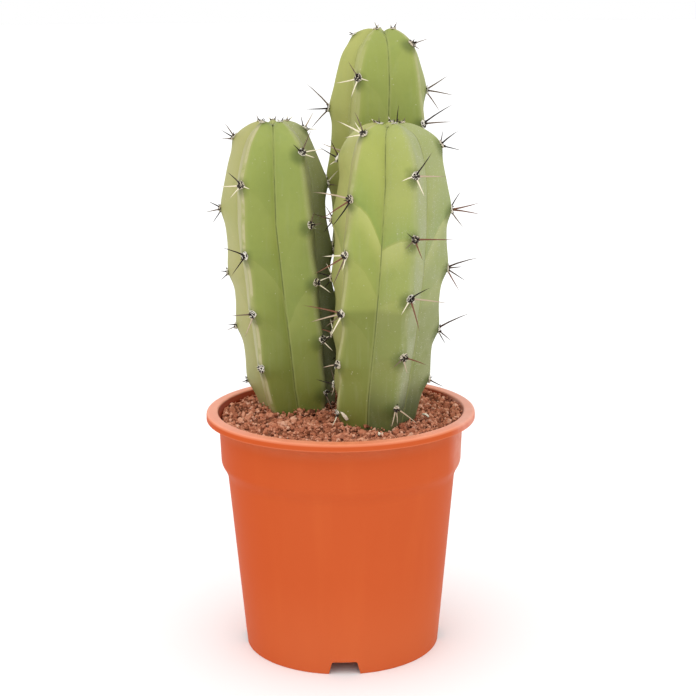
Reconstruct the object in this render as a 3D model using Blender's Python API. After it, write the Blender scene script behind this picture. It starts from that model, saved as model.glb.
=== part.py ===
"""Three ribbed cactus stems in a round plastic nursery pot, filled with gritty soil.

Metres, +Z up, -Y towards the viewer. The origin is on the pot's axis, at its foot.
"""

import math
import random

import bmesh
import bpy
from mathutils import Vector, noise
from mathutils.geometry import intersect_point_line

# Clearance between pieces that touch, and between a stem and the hole it stands in
GAP = 0.0003
HOLE_GAP = 0.0005

# Pot
POT_COLOUR = (0.62, 0.115, 0.032)
POT_HEIGHT = 0.154
RIM_RADIUS = 0.085
RIM_WIDTH = 0.0068
RIM_ROUND = 0.0011
LIP_INNER_ROUND = 0.0004
SHOULDER_LEAN = 0.0003
SKIRT_DEPTH = 0.0048
SKIRT_THICKNESS = 0.0013
WALL = 0.0016
COLLAR_TOP_RADIUS = 0.0773
COLLAR_FOOT_RADIUS = 0.0762
COLLAR_FOOT_HEIGHT = 0.122
STEP_DEPTH = 0.0040
STEP_HEIGHT = 0.0094
STEP_CURVE = ((0.25, 0.32), (0.86, 0.80))
FOOT_RADIUS = 0.0621
FOOT_RING = 0.0019
RECESS = 0.0090
POT_SEGMENTS = 48
POT_SHARP_DEG = 32.0

NOTCH_COUNT = 4
NOTCH_FIRST_DEG = 1.0
NOTCH_FOOT_WIDTH = 0.0204
NOTCH_TOP_WIDTH = 0.0162
NOTCH_LEAN = 0.0004
NOTCH_HEIGHT = 0.0083
NOTCH_ROUND = 0.0016
NOTCH_REACH = 0.006
BELOW_FOOT = 0.0005

DRAIN_COUNT = 8
DRAIN_FIRST_DEG = 23.5
DRAIN_RADIUS = 0.0048
DRAIN_CIRCLE = 0.0475
DRAIN_SIDES = 12

# Soil
SOIL_COLOUR = (0.30, 0.135, 0.085)
SOIL_EDGE_HEIGHT = 0.1492
SOIL_MOUND = 0.0018
SOIL_TILT = 0.0010
SOIL_LUMP = 0.0016
SOIL_LUMPS_PER_METRE = 130.0
SOIL_LUMP_SLICE = 3.7
SOIL_SMOOTH_AT_WALL = 0.006
SOIL_RINGS = 14
SOIL_SEGMENTS = 60

# Where the stems leave the soil, how far they stand in it, and how high their holes are cut
GROUND = SOIL_EDGE_HEIGHT + SOIL_MOUND
BURIED_OUTLINE = ((0.0, -0.038), (0.0095, -0.0368), (0.0155, -0.031), (0.0185, -0.016))
RIBS_FADE_BELOW = 0.016
HOLE_TOP = 0.022

# Ribs: how deep the grooves are, and the stations across half a rib, 0 on the crest to 1 in the groove
GROOVE_SHARE = 0.73
FACE_SWELL = 0.032
RIB_STATIONS = (0.0, 0.26, 0.64)
CROWN_DIP = 0.0042
CROWN_REACH = 0.030
RING_SPACING = 0.0108
CREST_STEP = 0.001
CURVE_STEPS = 24
STEM_SHARP_DEG = 40.0

# Areoles: a felt pad on a rise of the crest, which is lower where the crest closes in on the tip
RISE = 0.0027
RISE_ABOVE = 0.013
RISE_BELOW = 0.0065
RISE_FULL_RADIUS = 0.010
PAD_RADIUS = 0.0025
PAD_TOP_SHARE = 0.8
PAD_PROUD = 0.0007
PAD_SUNK = 0.0016
PAD_SIDES = 5
PAD_LIFT_DEG = 9.0
SLOPE_STEP = 0.002
CROWN_PAD_FROM_TIP = 0.0085
CROWN_PAD_SCALE = 0.72

# Spines: one that points out of the pad, and some that spread round it
SPREAD_SPINES = 3
CENTRAL_LENGTH = (0.015, 0.022)
CENTRAL_SIDE_LEAN = 0.22
CENTRAL_UP_LEAN = (-0.12, 0.25)
SPREAD_LENGTH = (0.010, 0.016)
SPREAD_TILT_DEG = (48.0, 64.0)
SPREAD_FIRST_TURN = 0.45
SPREAD_TURN = 0.2
CROWN_SPINE_LENGTH = (0.005, 0.007)
CROWN_SIDE_LEAN = 0.5
SPINE_RADIUS = 0.00062
SPINE_SUNK = 0.0016
SPINE_CLEARANCE = 0.0016
SPINE_REACH = 0.0872
SPINE_SHORTER = (1.0, 0.8, 0.6)
SPINE_TESTS = (0.375, 0.5, 0.625, 0.75, 0.875, 1.0)
SEED = 11

# Each stem: axis points (height, x, y) and crest outline (radius, height) above the soil,
# the bearing of each rib at the tip and at the soil (0 to the viewer, 90 to the right),
# and the distances along the crest from the tip to each rib's areoles.
STEMS = {
    "stem_front": {
        "axis": (
            (-0.040, 0.0215, -0.0215),
            (0.000, 0.0222, -0.0215),
            (0.017, 0.0229, -0.0218),
            (0.060, 0.0264, -0.0225),
            (0.100, 0.0289, -0.0228),
            (0.150, 0.0309, -0.0230),
            (0.185, 0.0300, -0.0230),
        ),
        "outline": (
            (0.0237, 0.000),
            (0.0266, 0.013),
            (0.0302, 0.038),
            (0.0328, 0.070),
            (0.0353, 0.104),
            (0.0354, 0.128),
            (0.0337, 0.150),
            (0.0305, 0.166),
            (0.0264, 0.1745),
            (0.0202, 0.1800),
            (0.0130, 0.1832),
            (0.0070, 0.1838),
            (0.0000, 0.1812),
        ),
        "ribs": ((-39, -62), (23, 21), (96, 95), (168.5, 168.5), (243, 241)),
        "areoles": (
            (0.0235, 0.064, 0.097, 0.133, 0.165, 0.197),
            (0.050, 0.087, 0.1225, 0.1585, 0.191),
            (0.0345, 0.0745, 0.1105, 0.1485, 0.180),
            (0.028, 0.066, 0.103, 0.139, 0.173),
            (0.044, 0.082, 0.118, 0.153, 0.186),
        ),
        "colour": (0.235, 0.315, 0.090),
    },
    "stem_left": {
        "axis": (
            (-0.040, -0.0285, 0.0215),
            (0.000, -0.0289, 0.0215),
            (0.015, -0.0310, 0.0213),
            (0.038, -0.0329, 0.0210),
            (0.075, -0.0363, 0.0210),
            (0.120, -0.0402, 0.0210),
            (0.184, -0.0408, 0.0210),
        ),
        "outline": (
            (0.0252, 0.000),
            (0.0280, 0.015),
            (0.0305, 0.038),
            (0.0324, 0.075),
            (0.0333, 0.098),
            (0.0338, 0.124),
            (0.0324, 0.146),
            (0.0286, 0.161),
            (0.0243, 0.1705),
            (0.0180, 0.1775),
            (0.0122, 0.1812),
            (0.0070, 0.1824),
            (0.0000, 0.1800),
        ),
        "ribs": ((-33, -32), (38, 46), (113, 97), (181.5, 181.5), (253.5, 253.5)),
        "areoles": (
            (0.009, 0.0555, 0.099, 0.136, 0.171),
            (0.0355, 0.0805, 0.1165, 0.153, 0.1885),
            (0.0205, 0.060, 0.1025, 0.139, 0.174),
            (0.032, 0.074, 0.113, 0.149, 0.183),
            (0.0275, 0.0745, 0.1155, 0.1505, 0.187),
        ),
        "colour": (0.215, 0.290, 0.085),
    },
    "stem_back": {
        "axis": (
            (-0.040, 0.0225, 0.0380),
            (0.000, 0.0230, 0.0385),
            (0.080, 0.0245, 0.0400),
            (0.160, 0.0264, 0.0415),
            (0.200, 0.0279, 0.0418),
            (0.241, 0.0281, 0.0420),
        ),
        "outline": (
            (0.0215, 0.000),
            (0.0250, 0.026),
            (0.0268, 0.070),
            (0.0276, 0.110),
            (0.0300, 0.127),
            (0.0312, 0.142),
            (0.0313, 0.166),
            (0.0303, 0.194),
            (0.0282, 0.212),
            (0.0244, 0.2240),
            (0.0185, 0.2315),
            (0.0120, 0.2364),
            (0.0065, 0.2380),
            (0.0000, 0.2357),
        ),
        "ribs": ((-91, -91), (-29, -50), (51, 47), (118, 118), (195, 195)),
        "areoles": (
            (0.016, 0.0665, 0.112, 0.155, 0.197, 0.238),
            (0.0465, 0.093, 0.137, 0.180, 0.220),
            (0.0245, 0.0755, 0.120, 0.163, 0.205),
            (0.0565, 0.101, 0.145, 0.188, 0.229),
            (0.032, 0.084, 0.130, 0.174, 0.214),
        ),
        "colour": (0.225, 0.300, 0.085),
    },
}


def add_object(name, mesh, material=None):
    obj = bpy.data.objects.new(name, mesh)
    bpy.context.scene.collection.objects.link(obj)
    if material:
        mesh.materials.append(material)
    return obj


def make_material(name, colour, roughness):
    material = bpy.data.materials.new(name)
    material.use_nodes = True
    shader = material.node_tree.nodes["Principled BSDF"]
    shader.inputs["Base Color"].default_value = (*colour, 1.0)
    shader.inputs["Roughness"].default_value = roughness
    shader.inputs["Metallic"].default_value = 0.0
    return material


def mesh_from(bm, name):
    bmesh.ops.recalc_face_normals(bm, faces=bm.faces)
    mesh = bpy.data.meshes.new(name)
    bm.to_mesh(mesh)
    bm.free()
    return mesh


def shade_round(mesh, sharp_deg):
    mesh.shade_smooth()
    mesh.set_sharp_from_angle(angle=math.radians(sharp_deg))


def add_boolean(obj, name, operation, other):
    boolean = obj.modifiers.new(name, "BOOLEAN")
    boolean.operation = operation
    boolean.solver = "EXACT"
    if isinstance(other, bpy.types.Collection):
        boolean.operand_type = "COLLECTION"
        boolean.collection = other
    else:
        boolean.object = other
    return boolean


def cut_with(obj, name, mesh):
    cutter = add_object(name, mesh)
    cutter.hide_render = True
    cutter.display_type = "WIRE"
    add_boolean(obj, name, "DIFFERENCE", cutter)


def direction(bearing):
    """Level unit vector at a bearing in radians, 0 to the viewer and a quarter turn to the right."""
    return Vector((math.sin(bearing), -math.cos(bearing), 0.0))


def ease(value):
    """0 to 1 with level ends."""
    value = min(max(value, 0.0), 1.0)
    return value * value * (3.0 - 2.0 * value)


def tangent(before, here, after):
    first = (here - before).length
    second = (after - here).length
    return ((here - before) / first * second + (after - here) / second * first) / (first + second)


def smooth_curve(controls, spacing):
    """Points SPACING apart on the smooth curve through the control points."""
    points = [Vector(control) for control in controls]
    padded = [2 * points[0] - points[1], *points, 2 * points[-1] - points[-2]]
    dense = []
    for a, b, c, d in zip(padded, padded[1:], padded[2:], padded[3:]):
        length = (c - b).length
        leave = tangent(a, b, c) * length
        arrive = tangent(b, c, d) * length
        for step in range(CURVE_STEPS):
            t = step / CURVE_STEPS
            dense.append(
                (2 * t**3 - 3 * t**2 + 1) * b
                + (t**3 - 2 * t**2 + t) * leave
                + (3 * t**2 - 2 * t**3) * c
                + (t**3 - t**2) * arrive
            )
    dense.append(points[-1])
    total = sum((b - a).length for a, b in zip(dense, dense[1:]))
    count = max(2, round(total / spacing))
    curve = [dense[0]]
    walked = 0.0
    for a, b in zip(dense, dense[1:]):
        walked += (b - a).length
        if walked >= total * len(curve) / count and len(curve) < count:
            curve.append(b)
    curve.append(dense[-1])
    return curve


class Stem:
    """One ribbed column: its crest outline, its axis and its areoles."""

    def __init__(self, name, form):
        self.name = name
        self.form = form
        outline = smooth_curve(BURIED_OUTLINE + form["outline"], CREST_STEP)
        outline.reverse()
        self.crest = [(0.0, outline[0])]
        for before, here in zip(outline, outline[1:]):
            self.crest.append((self.crest[-1][0] + (here - before).length, here))
        self.top = max(point.y for _, point in self.crest)
        length = self.crest[-1][0]
        count = round(length / RING_SPACING)
        self.rings = [length * (1.0 - ring / count) for ring in range(1, count)]
        self.areoles = form["areoles"]

    def crest_at(self, from_tip):
        """(radius, height) on the crest at a distance from the tip."""
        for (start, a), (end, b) in zip(self.crest, self.crest[1:]):
            if end >= from_tip:
                return a.lerp(b, (from_tip - start) / (end - start))
        return self.crest[-1][1]

    def tip_distance(self, height):
        """Distance along the crest from the tip down to a height."""
        for distance, point in reversed(self.crest):
            if point.y >= height:
                return distance
        return 0.0

    def axis_at(self, height):
        """The stem's axis at a height above the soil."""
        points = self.form["axis"]
        height = min(max(height, points[0][0]), points[-1][0])
        for low, high in zip(points, points[1:]):
            if height <= high[0]:
                share = (height - low[0]) / (high[0] - low[0])
                return Vector(low[1:]).lerp(Vector(high[1:]), share).to_3d() + Vector((0, 0, height))
        return Vector((*points[-1][1:], height))

    def bearings(self, height):
        """Bearing of each crest, which wanders a little towards the soil."""
        share = (1.0 - min(max(height / self.top, 0.0), 1.0)) ** 2
        return [math.radians(tip + (soil - tip) * share) for tip, soil in self.form["ribs"]]

    def rise(self, rib, from_tip):
        """How far the crest swells out round the areoles of a rib."""
        most = 0.0
        for pad in self.areoles[rib]:
            below = from_tip - pad
            reach = RISE_BELOW if below > 0 else RISE_ABOVE
            most = max(most, math.exp(-((below / reach) ** 2)))
        return RISE * most

    def face_radius(self, crest, groove, span, share):
        """Radius on the face between a crest and a groove SPAN radians apart, swollen a little."""
        bearing = span * share
        flat = crest * groove * math.sin(span)
        flat /= crest * math.sin(bearing) + groove * math.sin(span - bearing)
        return flat + FACE_SWELL * crest * math.sin(math.pi * share)

    def groove_share(self, height):
        """The ribs fade out where the stem stands in the soil."""
        return 1.0 - (1.0 - GROOVE_SHARE) * ease(1.0 + height / RIBS_FADE_BELOW)

    def section(self, from_tip, grow):
        """The closed ring of points at one distance along the crest from the tip."""
        radius, height = self.crest_at(from_tip)
        bearings = self.bearings(height)
        groove = self.groove_share(height)
        swell = ease(1.0 + height / RIBS_FADE_BELOW) * ease(radius / RISE_FULL_RADIUS)
        dip = CROWN_DIP * ease(1.0 - from_tip / CROWN_REACH)
        centre = self.axis_at(height)
        ring = []
        for rib, bearing in enumerate(bearings):
            after = bearings[(rib + 1) % len(bearings)]
            before = bearings[rib - 1]
            crest = radius + swell * self.rise(rib, from_tip)
            half_before = ((bearing - before) % math.tau) / 2
            half_after = ((after - bearing) % math.tau) / 2
            stations = [(-half_before, share) for share in reversed(RIB_STATIONS[1:])]
            stations += [(half_after, share) for share in (*RIB_STATIONS, 1.0)]
            for half, share in stations:
                if share == 1.0:
                    reach = radius * groove
                else:
                    reach = self.face_radius(crest, radius * groove, abs(half), share)
                lift = dip * share * share
                point = centre + direction(bearing + half * share) * (reach + grow)
                ring.append(point - Vector((0.0, 0.0, lift)))
        return ring

    def surface_radius(self, bearing, height):
        """Distance from the axis to the skin, at a bearing and a height above the soil."""
        radius = self.crest_at(self.tip_distance(height)).x
        bearings = self.bearings(height)
        for rib, crest in enumerate(bearings):
            after = bearings[(rib + 1) % len(bearings)]
            span = (after - crest) % math.tau
            turned = (bearing - crest) % math.tau
            if turned <= span:
                share = 1.0 - abs(2.0 * turned / span - 1.0)
                groove = radius * self.groove_share(height)
                return self.face_radius(radius + RISE, groove, span / 2, share)
        return radius + RISE

    def holds(self, point, margin):
        """Whether a point is inside the stem or within a margin of its skin."""
        height = point.z - GROUND
        if height > self.top + margin:
            return False
        away = point - self.axis_at(height)
        bearing = math.atan2(away.x, -away.y)
        height = min(height, self.top)
        return away.xy.length < self.surface_radius(bearing, height) + margin

    def body(self, grow=0.0, highest=None):
        """Closed mesh of the column without its areoles, or of its foot up to a height."""
        bm = bmesh.new()
        rings = [ring for ring in self.rings if highest is None or self.crest_at(ring).y < highest]
        lift = Vector((0.0, 0.0, GROUND))
        foot_height = self.crest[-1][1].y - grow
        top_height = self.crest[0][1].y if highest is None else self.crest_at(rings[-1]).y
        loops = []
        for from_tip in rings:
            loops.append([bm.verts.new(point + lift) for point in self.section(from_tip, grow)])
        for low, high in zip(loops, loops[1:]):
            for index, corner in enumerate(low):
                beside = (index + 1) % len(low)
                bm.faces.new((corner, low[beside], high[beside]))
                bm.faces.new((corner, high[beside], high[index]))
        for height, loop in ((foot_height, loops[0]), (top_height, loops[-1])):
            pole = bm.verts.new((*self.axis_at(height).xy, height + GROUND))
            for index, corner in enumerate(loop):
                bm.faces.new((corner, loop[(index + 1) % len(loop)], pole))
        return mesh_from(bm, self.name)

    def pad_frames(self):
        """Each areole's seat and outward direction, and whether it is one of the crown's young ones."""
        for rib, distances in enumerate(self.areoles):
            pads = [(from_tip, from_tip < 2 * CROWN_PAD_FROM_TIP) for from_tip in distances]
            if not pads[0][1]:
                pads.insert(0, (CROWN_PAD_FROM_TIP, True))
            for from_tip, young in pads:
                here = self.crest_at(from_tip)
                slope = self.crest_at(from_tip + SLOPE_STEP) - self.crest_at(from_tip - SLOPE_STEP)
                radial = direction(self.bearings(here.y)[rib])
                out = (radial * -slope.y + Vector((0.0, 0.0, slope.x))).normalized()
                lean = math.radians(PAD_LIFT_DEG) * out.xy.length
                out = (out + Vector((0.0, 0.0, math.tan(lean)))).normalized()
                rise = 0.0 if young else RISE * ease(here.x / RISE_FULL_RADIUS)
                seat = self.axis_at(here.y) + radial * (here.x + rise) + Vector((0.0, 0.0, GROUND))
                yield seat, out, young


def across(out):
    """Two directions square to OUT: to its side, and up the stem."""
    side = Vector((0.0, 0.0, 1.0)).cross(out)
    if side.length < 0.01:
        side = Vector((1.0, 0.0, 0.0))
    side.normalize()
    return side, out.cross(side)


def add_prism(bm, foot, tip, foot_radius, tip_radius, sides, turn=0.0):
    """Straight piece with flat sides from foot to tip, pointed where the tip's radius is 0."""
    side, up = across((tip - foot).normalized())
    circle = []
    for index in range(sides):
        angle = turn + math.tau * index / sides
        circle.append(side * math.cos(angle) + up * math.sin(angle))
    low = [bm.verts.new(foot + spoke * foot_radius) for spoke in circle]
    bm.faces.new(low)
    if tip_radius == 0.0:
        point = bm.verts.new(tip)
        for index, corner in enumerate(low):
            bm.faces.new((corner, low[(index + 1) % sides], point))
        return
    high = [bm.verts.new(tip + spoke * tip_radius) for spoke in circle]
    bm.faces.new(high)
    for index, corner in enumerate(low):
        beside = (index + 1) % sides
        bm.faces.new((corner, low[beside], high[beside], high[index]))


def spine_tips(seat, out, young, draw):
    """Where the spines of one areole would end if nothing were in their way."""
    side, up = across(out)
    if young:
        lean = side * draw.uniform(-CROWN_SIDE_LEAN, CROWN_SIDE_LEAN)
        return [seat + (out + lean).normalized() * draw.uniform(*CROWN_SPINE_LENGTH)]
    lean = side * draw.uniform(-CENTRAL_SIDE_LEAN, CENTRAL_SIDE_LEAN) + up * draw.uniform(*CENTRAL_UP_LEAN)
    tips = [seat + (out + lean).normalized() * draw.uniform(*CENTRAL_LENGTH)]
    first = draw.uniform(-SPREAD_FIRST_TURN, SPREAD_FIRST_TURN)
    for index in range(SPREAD_SPINES):
        turn = first + math.tau * index / SPREAD_SPINES + draw.uniform(-SPREAD_TURN, SPREAD_TURN)
        tilt = math.radians(draw.uniform(*SPREAD_TILT_DEG))
        spoke = up * math.cos(turn) + side * math.sin(turn)
        aim = out * math.cos(tilt) + spoke * math.sin(tilt)
        tips.append(seat + aim * draw.uniform(*SPREAD_LENGTH))
    return tips


def distance_to_line(point, start, end):
    """Distance from a point to the straight piece between two others."""
    nearest, share = intersect_point_line(point, start, end)
    if share < 0.0 or share > 1.0:
        nearest = start if share < 0.0 else end
    return (point - nearest).length


def is_clear(seat, end, stem, others, placed):
    """Whether a spine misses the soil, the other stems and their spines, and stays over the pot."""
    if end.z < GROUND + SPINE_CLEARANCE or max(abs(end.x), abs(end.y)) > SPINE_REACH:
        return False
    if stem.holds(end, 0.0):
        return False
    for share in SPINE_TESTS:
        point = seat.lerp(end, share)
        if any(other.holds(point, SPINE_CLEARANCE) for other in others):
            return False
        for owner, start, tip in placed:
            if owner is not stem and distance_to_line(point, start, tip) < SPINE_CLEARANCE:
                return False
    return True


def clear_tip(seat, tip, stem, stems, placed):
    """The spine's tip, drawn in where something is in its way, or None where it has no room."""
    others = [other for other in stems if other is not stem]
    for share in SPINE_SHORTER:
        end = seat.lerp(tip, share)
        if is_clear(seat, end, stem, others, placed):
            placed.append((stem, seat, end))
            return end
    return None


def build_stem(stem, stems, placed):
    draw = random.Random(f"{SEED} {stem.name}")
    body = add_object(stem.name, stem.body(), make_material(stem.name, stem.form["colour"], 0.5))
    pads = bmesh.new()
    spines = [bmesh.new() for _ in range(SPREAD_SPINES + 1)]
    for seat, out, young in stem.pad_frames():
        scale = CROWN_PAD_SCALE if young else 1.0
        low = seat - out * PAD_SUNK
        high = seat + out * PAD_PROUD * scale
        add_prism(pads, low, high, PAD_RADIUS * scale, PAD_TOP_SHARE * PAD_RADIUS * scale, PAD_SIDES)
        for layer, tip in zip(spines, spine_tips(seat, out, young, draw)):
            end = clear_tip(seat, tip, stem, stems, placed)
            if end:
                root = seat - (end - seat).normalized() * SPINE_SUNK
                add_prism(layer, root, end, SPINE_RADIUS, 0.0, 3, draw.uniform(0.0, math.tau))
    repeats = bpy.data.collections.new(stem.name + "_repeats")
    for layer in (pads, *spines):
        repeats.objects.link(bpy.data.objects.new("repeat", mesh_from(layer, "repeat")))
    join = add_boolean(body, "join", "UNION", repeats)
    bpy.context.view_layer.update()
    graph = bpy.context.evaluated_depsgraph_get()
    joined = bpy.data.meshes.new_from_object(body.evaluated_get(graph))
    body.modifiers.remove(join)
    body.data = joined
    for layer in list(repeats.objects):
        bpy.data.objects.remove(layer)
    bpy.data.collections.remove(repeats)
    shade_round(joined, STEM_SHARP_DEG)


def inner_wall():
    """The pot's inside from the floor's edge up to the lip, as (radius, height)."""
    step_foot = COLLAR_FOOT_HEIGHT - STEP_HEIGHT
    step_foot_radius = COLLAR_FOOT_RADIUS - STEP_DEPTH
    floor = RECESS + WALL
    taper = (step_foot_radius - FOOT_RADIUS) / step_foot
    wall = [(FOOT_RADIUS + taper * floor - WALL, floor), (step_foot_radius - WALL, step_foot)]
    for out, up in STEP_CURVE:
        wall.append((step_foot_radius + out * STEP_DEPTH - WALL, step_foot + up * STEP_HEIGHT))
    wall.append((COLLAR_FOOT_RADIUS - WALL, COLLAR_FOOT_HEIGHT))
    wall.append((COLLAR_TOP_RADIUS - WALL, POT_HEIGHT - SKIRT_DEPTH + WALL / 2))
    return wall


def pot_outline():
    """Half section: out over the floor, up the inside, over the lip, down the outside, in to the axis."""
    inside = inner_wall()
    outside = [(radius + WALL, height) for radius, height in reversed(inside[1:])]
    skirt_foot = POT_HEIGHT - SKIRT_DEPTH
    skirt_inside = RIM_RADIUS - SKIRT_THICKNESS
    lip_under = POT_HEIGHT - WALL
    inner_edge = RIM_RADIUS - RIM_WIDTH
    lip = [(inner_edge, POT_HEIGHT - LIP_INNER_ROUND), (inner_edge + LIP_INNER_ROUND, POT_HEIGHT)]
    for turn in (0, 45, 90):
        angle = math.radians(turn)
        lip.append((
            RIM_RADIUS - RIM_ROUND + RIM_ROUND * math.sin(angle),
            POT_HEIGHT - RIM_ROUND + RIM_ROUND * math.cos(angle),
        ))
    lip += [
        (RIM_RADIUS, skirt_foot),
        (skirt_inside, skirt_foot),
        (skirt_inside, lip_under),
        (inner_edge + SHOULDER_LEAN, lip_under),
    ]
    foot = [
        (FOOT_RADIUS, 0.0),
        (FOOT_RADIUS - FOOT_RING, 0.0),
        (FOOT_RADIUS - FOOT_RING, RECESS),
        (0.0, RECESS),
    ]
    return [(0.0, RECESS + WALL), *inside, *lip, *outside, *foot]


def notch_cutter():
    """Foot notches: a prism with rounded upper corners through the foot ring at each bearing."""
    bm = bmesh.new()
    half_top = NOTCH_TOP_WIDTH / 2
    right = [(NOTCH_FOOT_WIDTH / 2, -BELOW_FOOT), (half_top + NOTCH_LEAN, NOTCH_HEIGHT - NOTCH_ROUND)]
    for turn in (45, 90):
        angle = math.radians(turn)
        right.append((
            half_top - NOTCH_ROUND * (1 - math.cos(angle)),
            NOTCH_HEIGHT - NOTCH_ROUND * (1 - math.sin(angle)),
        ))
    corners = right + [(-wide, up) for wide, up in reversed(right)]
    for count in range(NOTCH_COUNT):
        out = direction(math.radians(NOTCH_FIRST_DEG + 360 * count / NOTCH_COUNT))
        beside = Vector((0.0, 0.0, 1.0)).cross(out)
        rings = []
        for reach in (FOOT_RADIUS - NOTCH_REACH, FOOT_RADIUS + NOTCH_REACH):
            rings.append([
                bm.verts.new(out * reach + beside * wide + Vector((0.0, 0.0, up)))
                for wide, up in corners
            ])
        inner, outer = rings
        bm.faces.new(inner)
        bm.faces.new(outer)
        for index, corner in enumerate(inner):
            after = (index + 1) % len(inner)
            bm.faces.new((corner, inner[after], outer[after], outer[index]))
    return mesh_from(bm, "notch_cutter")


def drain_cutter():
    """Drain holes: a prism through the raised floor at each bearing."""
    bm = bmesh.new()
    for count in range(DRAIN_COUNT):
        out = direction(math.radians(DRAIN_FIRST_DEG + 360 * count / DRAIN_COUNT))
        foot = out * DRAIN_CIRCLE + Vector((0.0, 0.0, RECESS - WALL))
        top = foot + Vector((0.0, 0.0, 3 * WALL))
        add_prism(bm, foot, top, DRAIN_RADIUS, DRAIN_RADIUS, DRAIN_SIDES)
    return mesh_from(bm, "drain_cutter")


def build_pot():
    bm = bmesh.new()
    corners = [bm.verts.new((radius, 0.0, height)) for radius, height in pot_outline()]
    edges = [bm.edges.new(pair) for pair in zip(corners, corners[1:])]
    bmesh.ops.spin(
        bm,
        geom=corners + edges,
        cent=(0.0, 0.0, 0.0),
        axis=(0.0, 0.0, 1.0),
        angle=math.tau,
        steps=POT_SEGMENTS,
        use_merge=True,
    )
    bmesh.ops.remove_doubles(bm, verts=bm.verts, dist=1e-6)
    pot = add_object("pot", mesh_from(bm, "pot"), make_material("pot", POT_COLOUR, 0.42))
    shade_round(pot.data, POT_SHARP_DEG)
    cut_with(pot, "notch_cutter", notch_cutter())
    cut_with(pot, "drain_cutter", drain_cutter())


def soil_height(x, y):
    """Height of the soil: mounded round the stems, a little higher on the right, and lumpy."""
    edge = COLLAR_TOP_RADIUS - WALL
    radius = math.hypot(x, y)
    share = min(radius / edge, 1.0)
    level = SOIL_EDGE_HEIGHT + SOIL_MOUND * (1.0 - share**2) + SOIL_TILT * share * x / edge
    lump = noise.noise(Vector((x, y, 0.0)) * SOIL_LUMPS_PER_METRE + Vector((0.0, 0.0, SOIL_LUMP_SLICE)))
    return level + SOIL_LUMP * lump * ease((edge - radius) / SOIL_SMOOTH_AT_WALL)


def soil_ring(bm, radius, height=None):
    """A ring of corners, level at HEIGHT or lying on the soil's surface."""
    ring = []
    for index in range(SOIL_SEGMENTS):
        angle = math.tau * index / SOIL_SEGMENTS
        x = radius * math.cos(angle)
        y = radius * math.sin(angle)
        ring.append(bm.verts.new((x, y, soil_height(x, y) if height is None else height)))
    return ring


def build_soil(stems):
    bm = bmesh.new()
    wall = inner_wall()
    floor = wall[0][1] + GAP
    edge_radius = wall[-1][0] - 2 * GAP
    rings = [soil_ring(bm, radius - GAP, height + GAP) for radius, height in wall[:-1]]
    rings += [soil_ring(bm, edge_radius * (1.0 - ring / SOIL_RINGS)) for ring in range(SOIL_RINGS)]
    for low, high in zip(rings, rings[1:]):
        for index, corner in enumerate(low):
            after = (index + 1) % SOIL_SEGMENTS
            bm.faces.new((corner, low[after], high[after], high[index]))
    for ring, height in ((rings[0], floor), (rings[-1], soil_height(0.0, 0.0))):
        pole = bm.verts.new((0.0, 0.0, height))
        for index, corner in enumerate(ring):
            bm.faces.new((corner, ring[(index + 1) % SOIL_SEGMENTS], pole))
    soil = add_object("soil", mesh_from(bm, "soil"), make_material("soil", SOIL_COLOUR, 0.95))
    for stem in stems:
        cut_with(soil, stem.name + "_hole", stem.body(grow=HOLE_GAP, highest=HOLE_TOP))


def main():
    for obj in list(bpy.data.objects):
        bpy.data.objects.remove(obj)
    stems = [Stem(name, form) for name, form in STEMS.items()]
    build_pot()
    build_soil(stems)
    placed = []
    for stem in stems:
        build_stem(stem, stems, placed)


main()
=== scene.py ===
import math
import random

import bmesh
import bpy
import numpy as np
from mathutils import Euler, Matrix, Vector, noise


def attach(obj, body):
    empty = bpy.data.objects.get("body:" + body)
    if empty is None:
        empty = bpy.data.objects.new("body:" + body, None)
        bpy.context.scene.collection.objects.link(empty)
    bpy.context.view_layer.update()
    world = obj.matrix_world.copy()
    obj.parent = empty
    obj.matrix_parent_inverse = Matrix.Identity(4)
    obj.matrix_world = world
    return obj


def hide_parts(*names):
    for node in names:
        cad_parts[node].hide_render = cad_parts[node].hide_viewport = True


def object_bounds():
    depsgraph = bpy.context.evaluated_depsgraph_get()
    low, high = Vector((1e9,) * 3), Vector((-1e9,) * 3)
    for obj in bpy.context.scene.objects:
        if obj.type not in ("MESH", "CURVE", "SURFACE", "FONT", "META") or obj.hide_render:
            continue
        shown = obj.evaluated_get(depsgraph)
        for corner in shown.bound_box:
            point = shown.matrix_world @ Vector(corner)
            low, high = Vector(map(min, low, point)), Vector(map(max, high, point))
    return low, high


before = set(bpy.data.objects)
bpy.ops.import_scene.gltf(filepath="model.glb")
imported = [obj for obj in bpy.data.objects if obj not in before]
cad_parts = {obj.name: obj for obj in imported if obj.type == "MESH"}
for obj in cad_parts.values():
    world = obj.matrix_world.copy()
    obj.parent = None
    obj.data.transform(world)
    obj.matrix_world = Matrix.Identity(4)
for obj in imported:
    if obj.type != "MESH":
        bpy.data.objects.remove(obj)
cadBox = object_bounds()
print("frame loaded", [round(side, 4) for side in cadBox[1] - cadBox[0]])


# shader wiring

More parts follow.
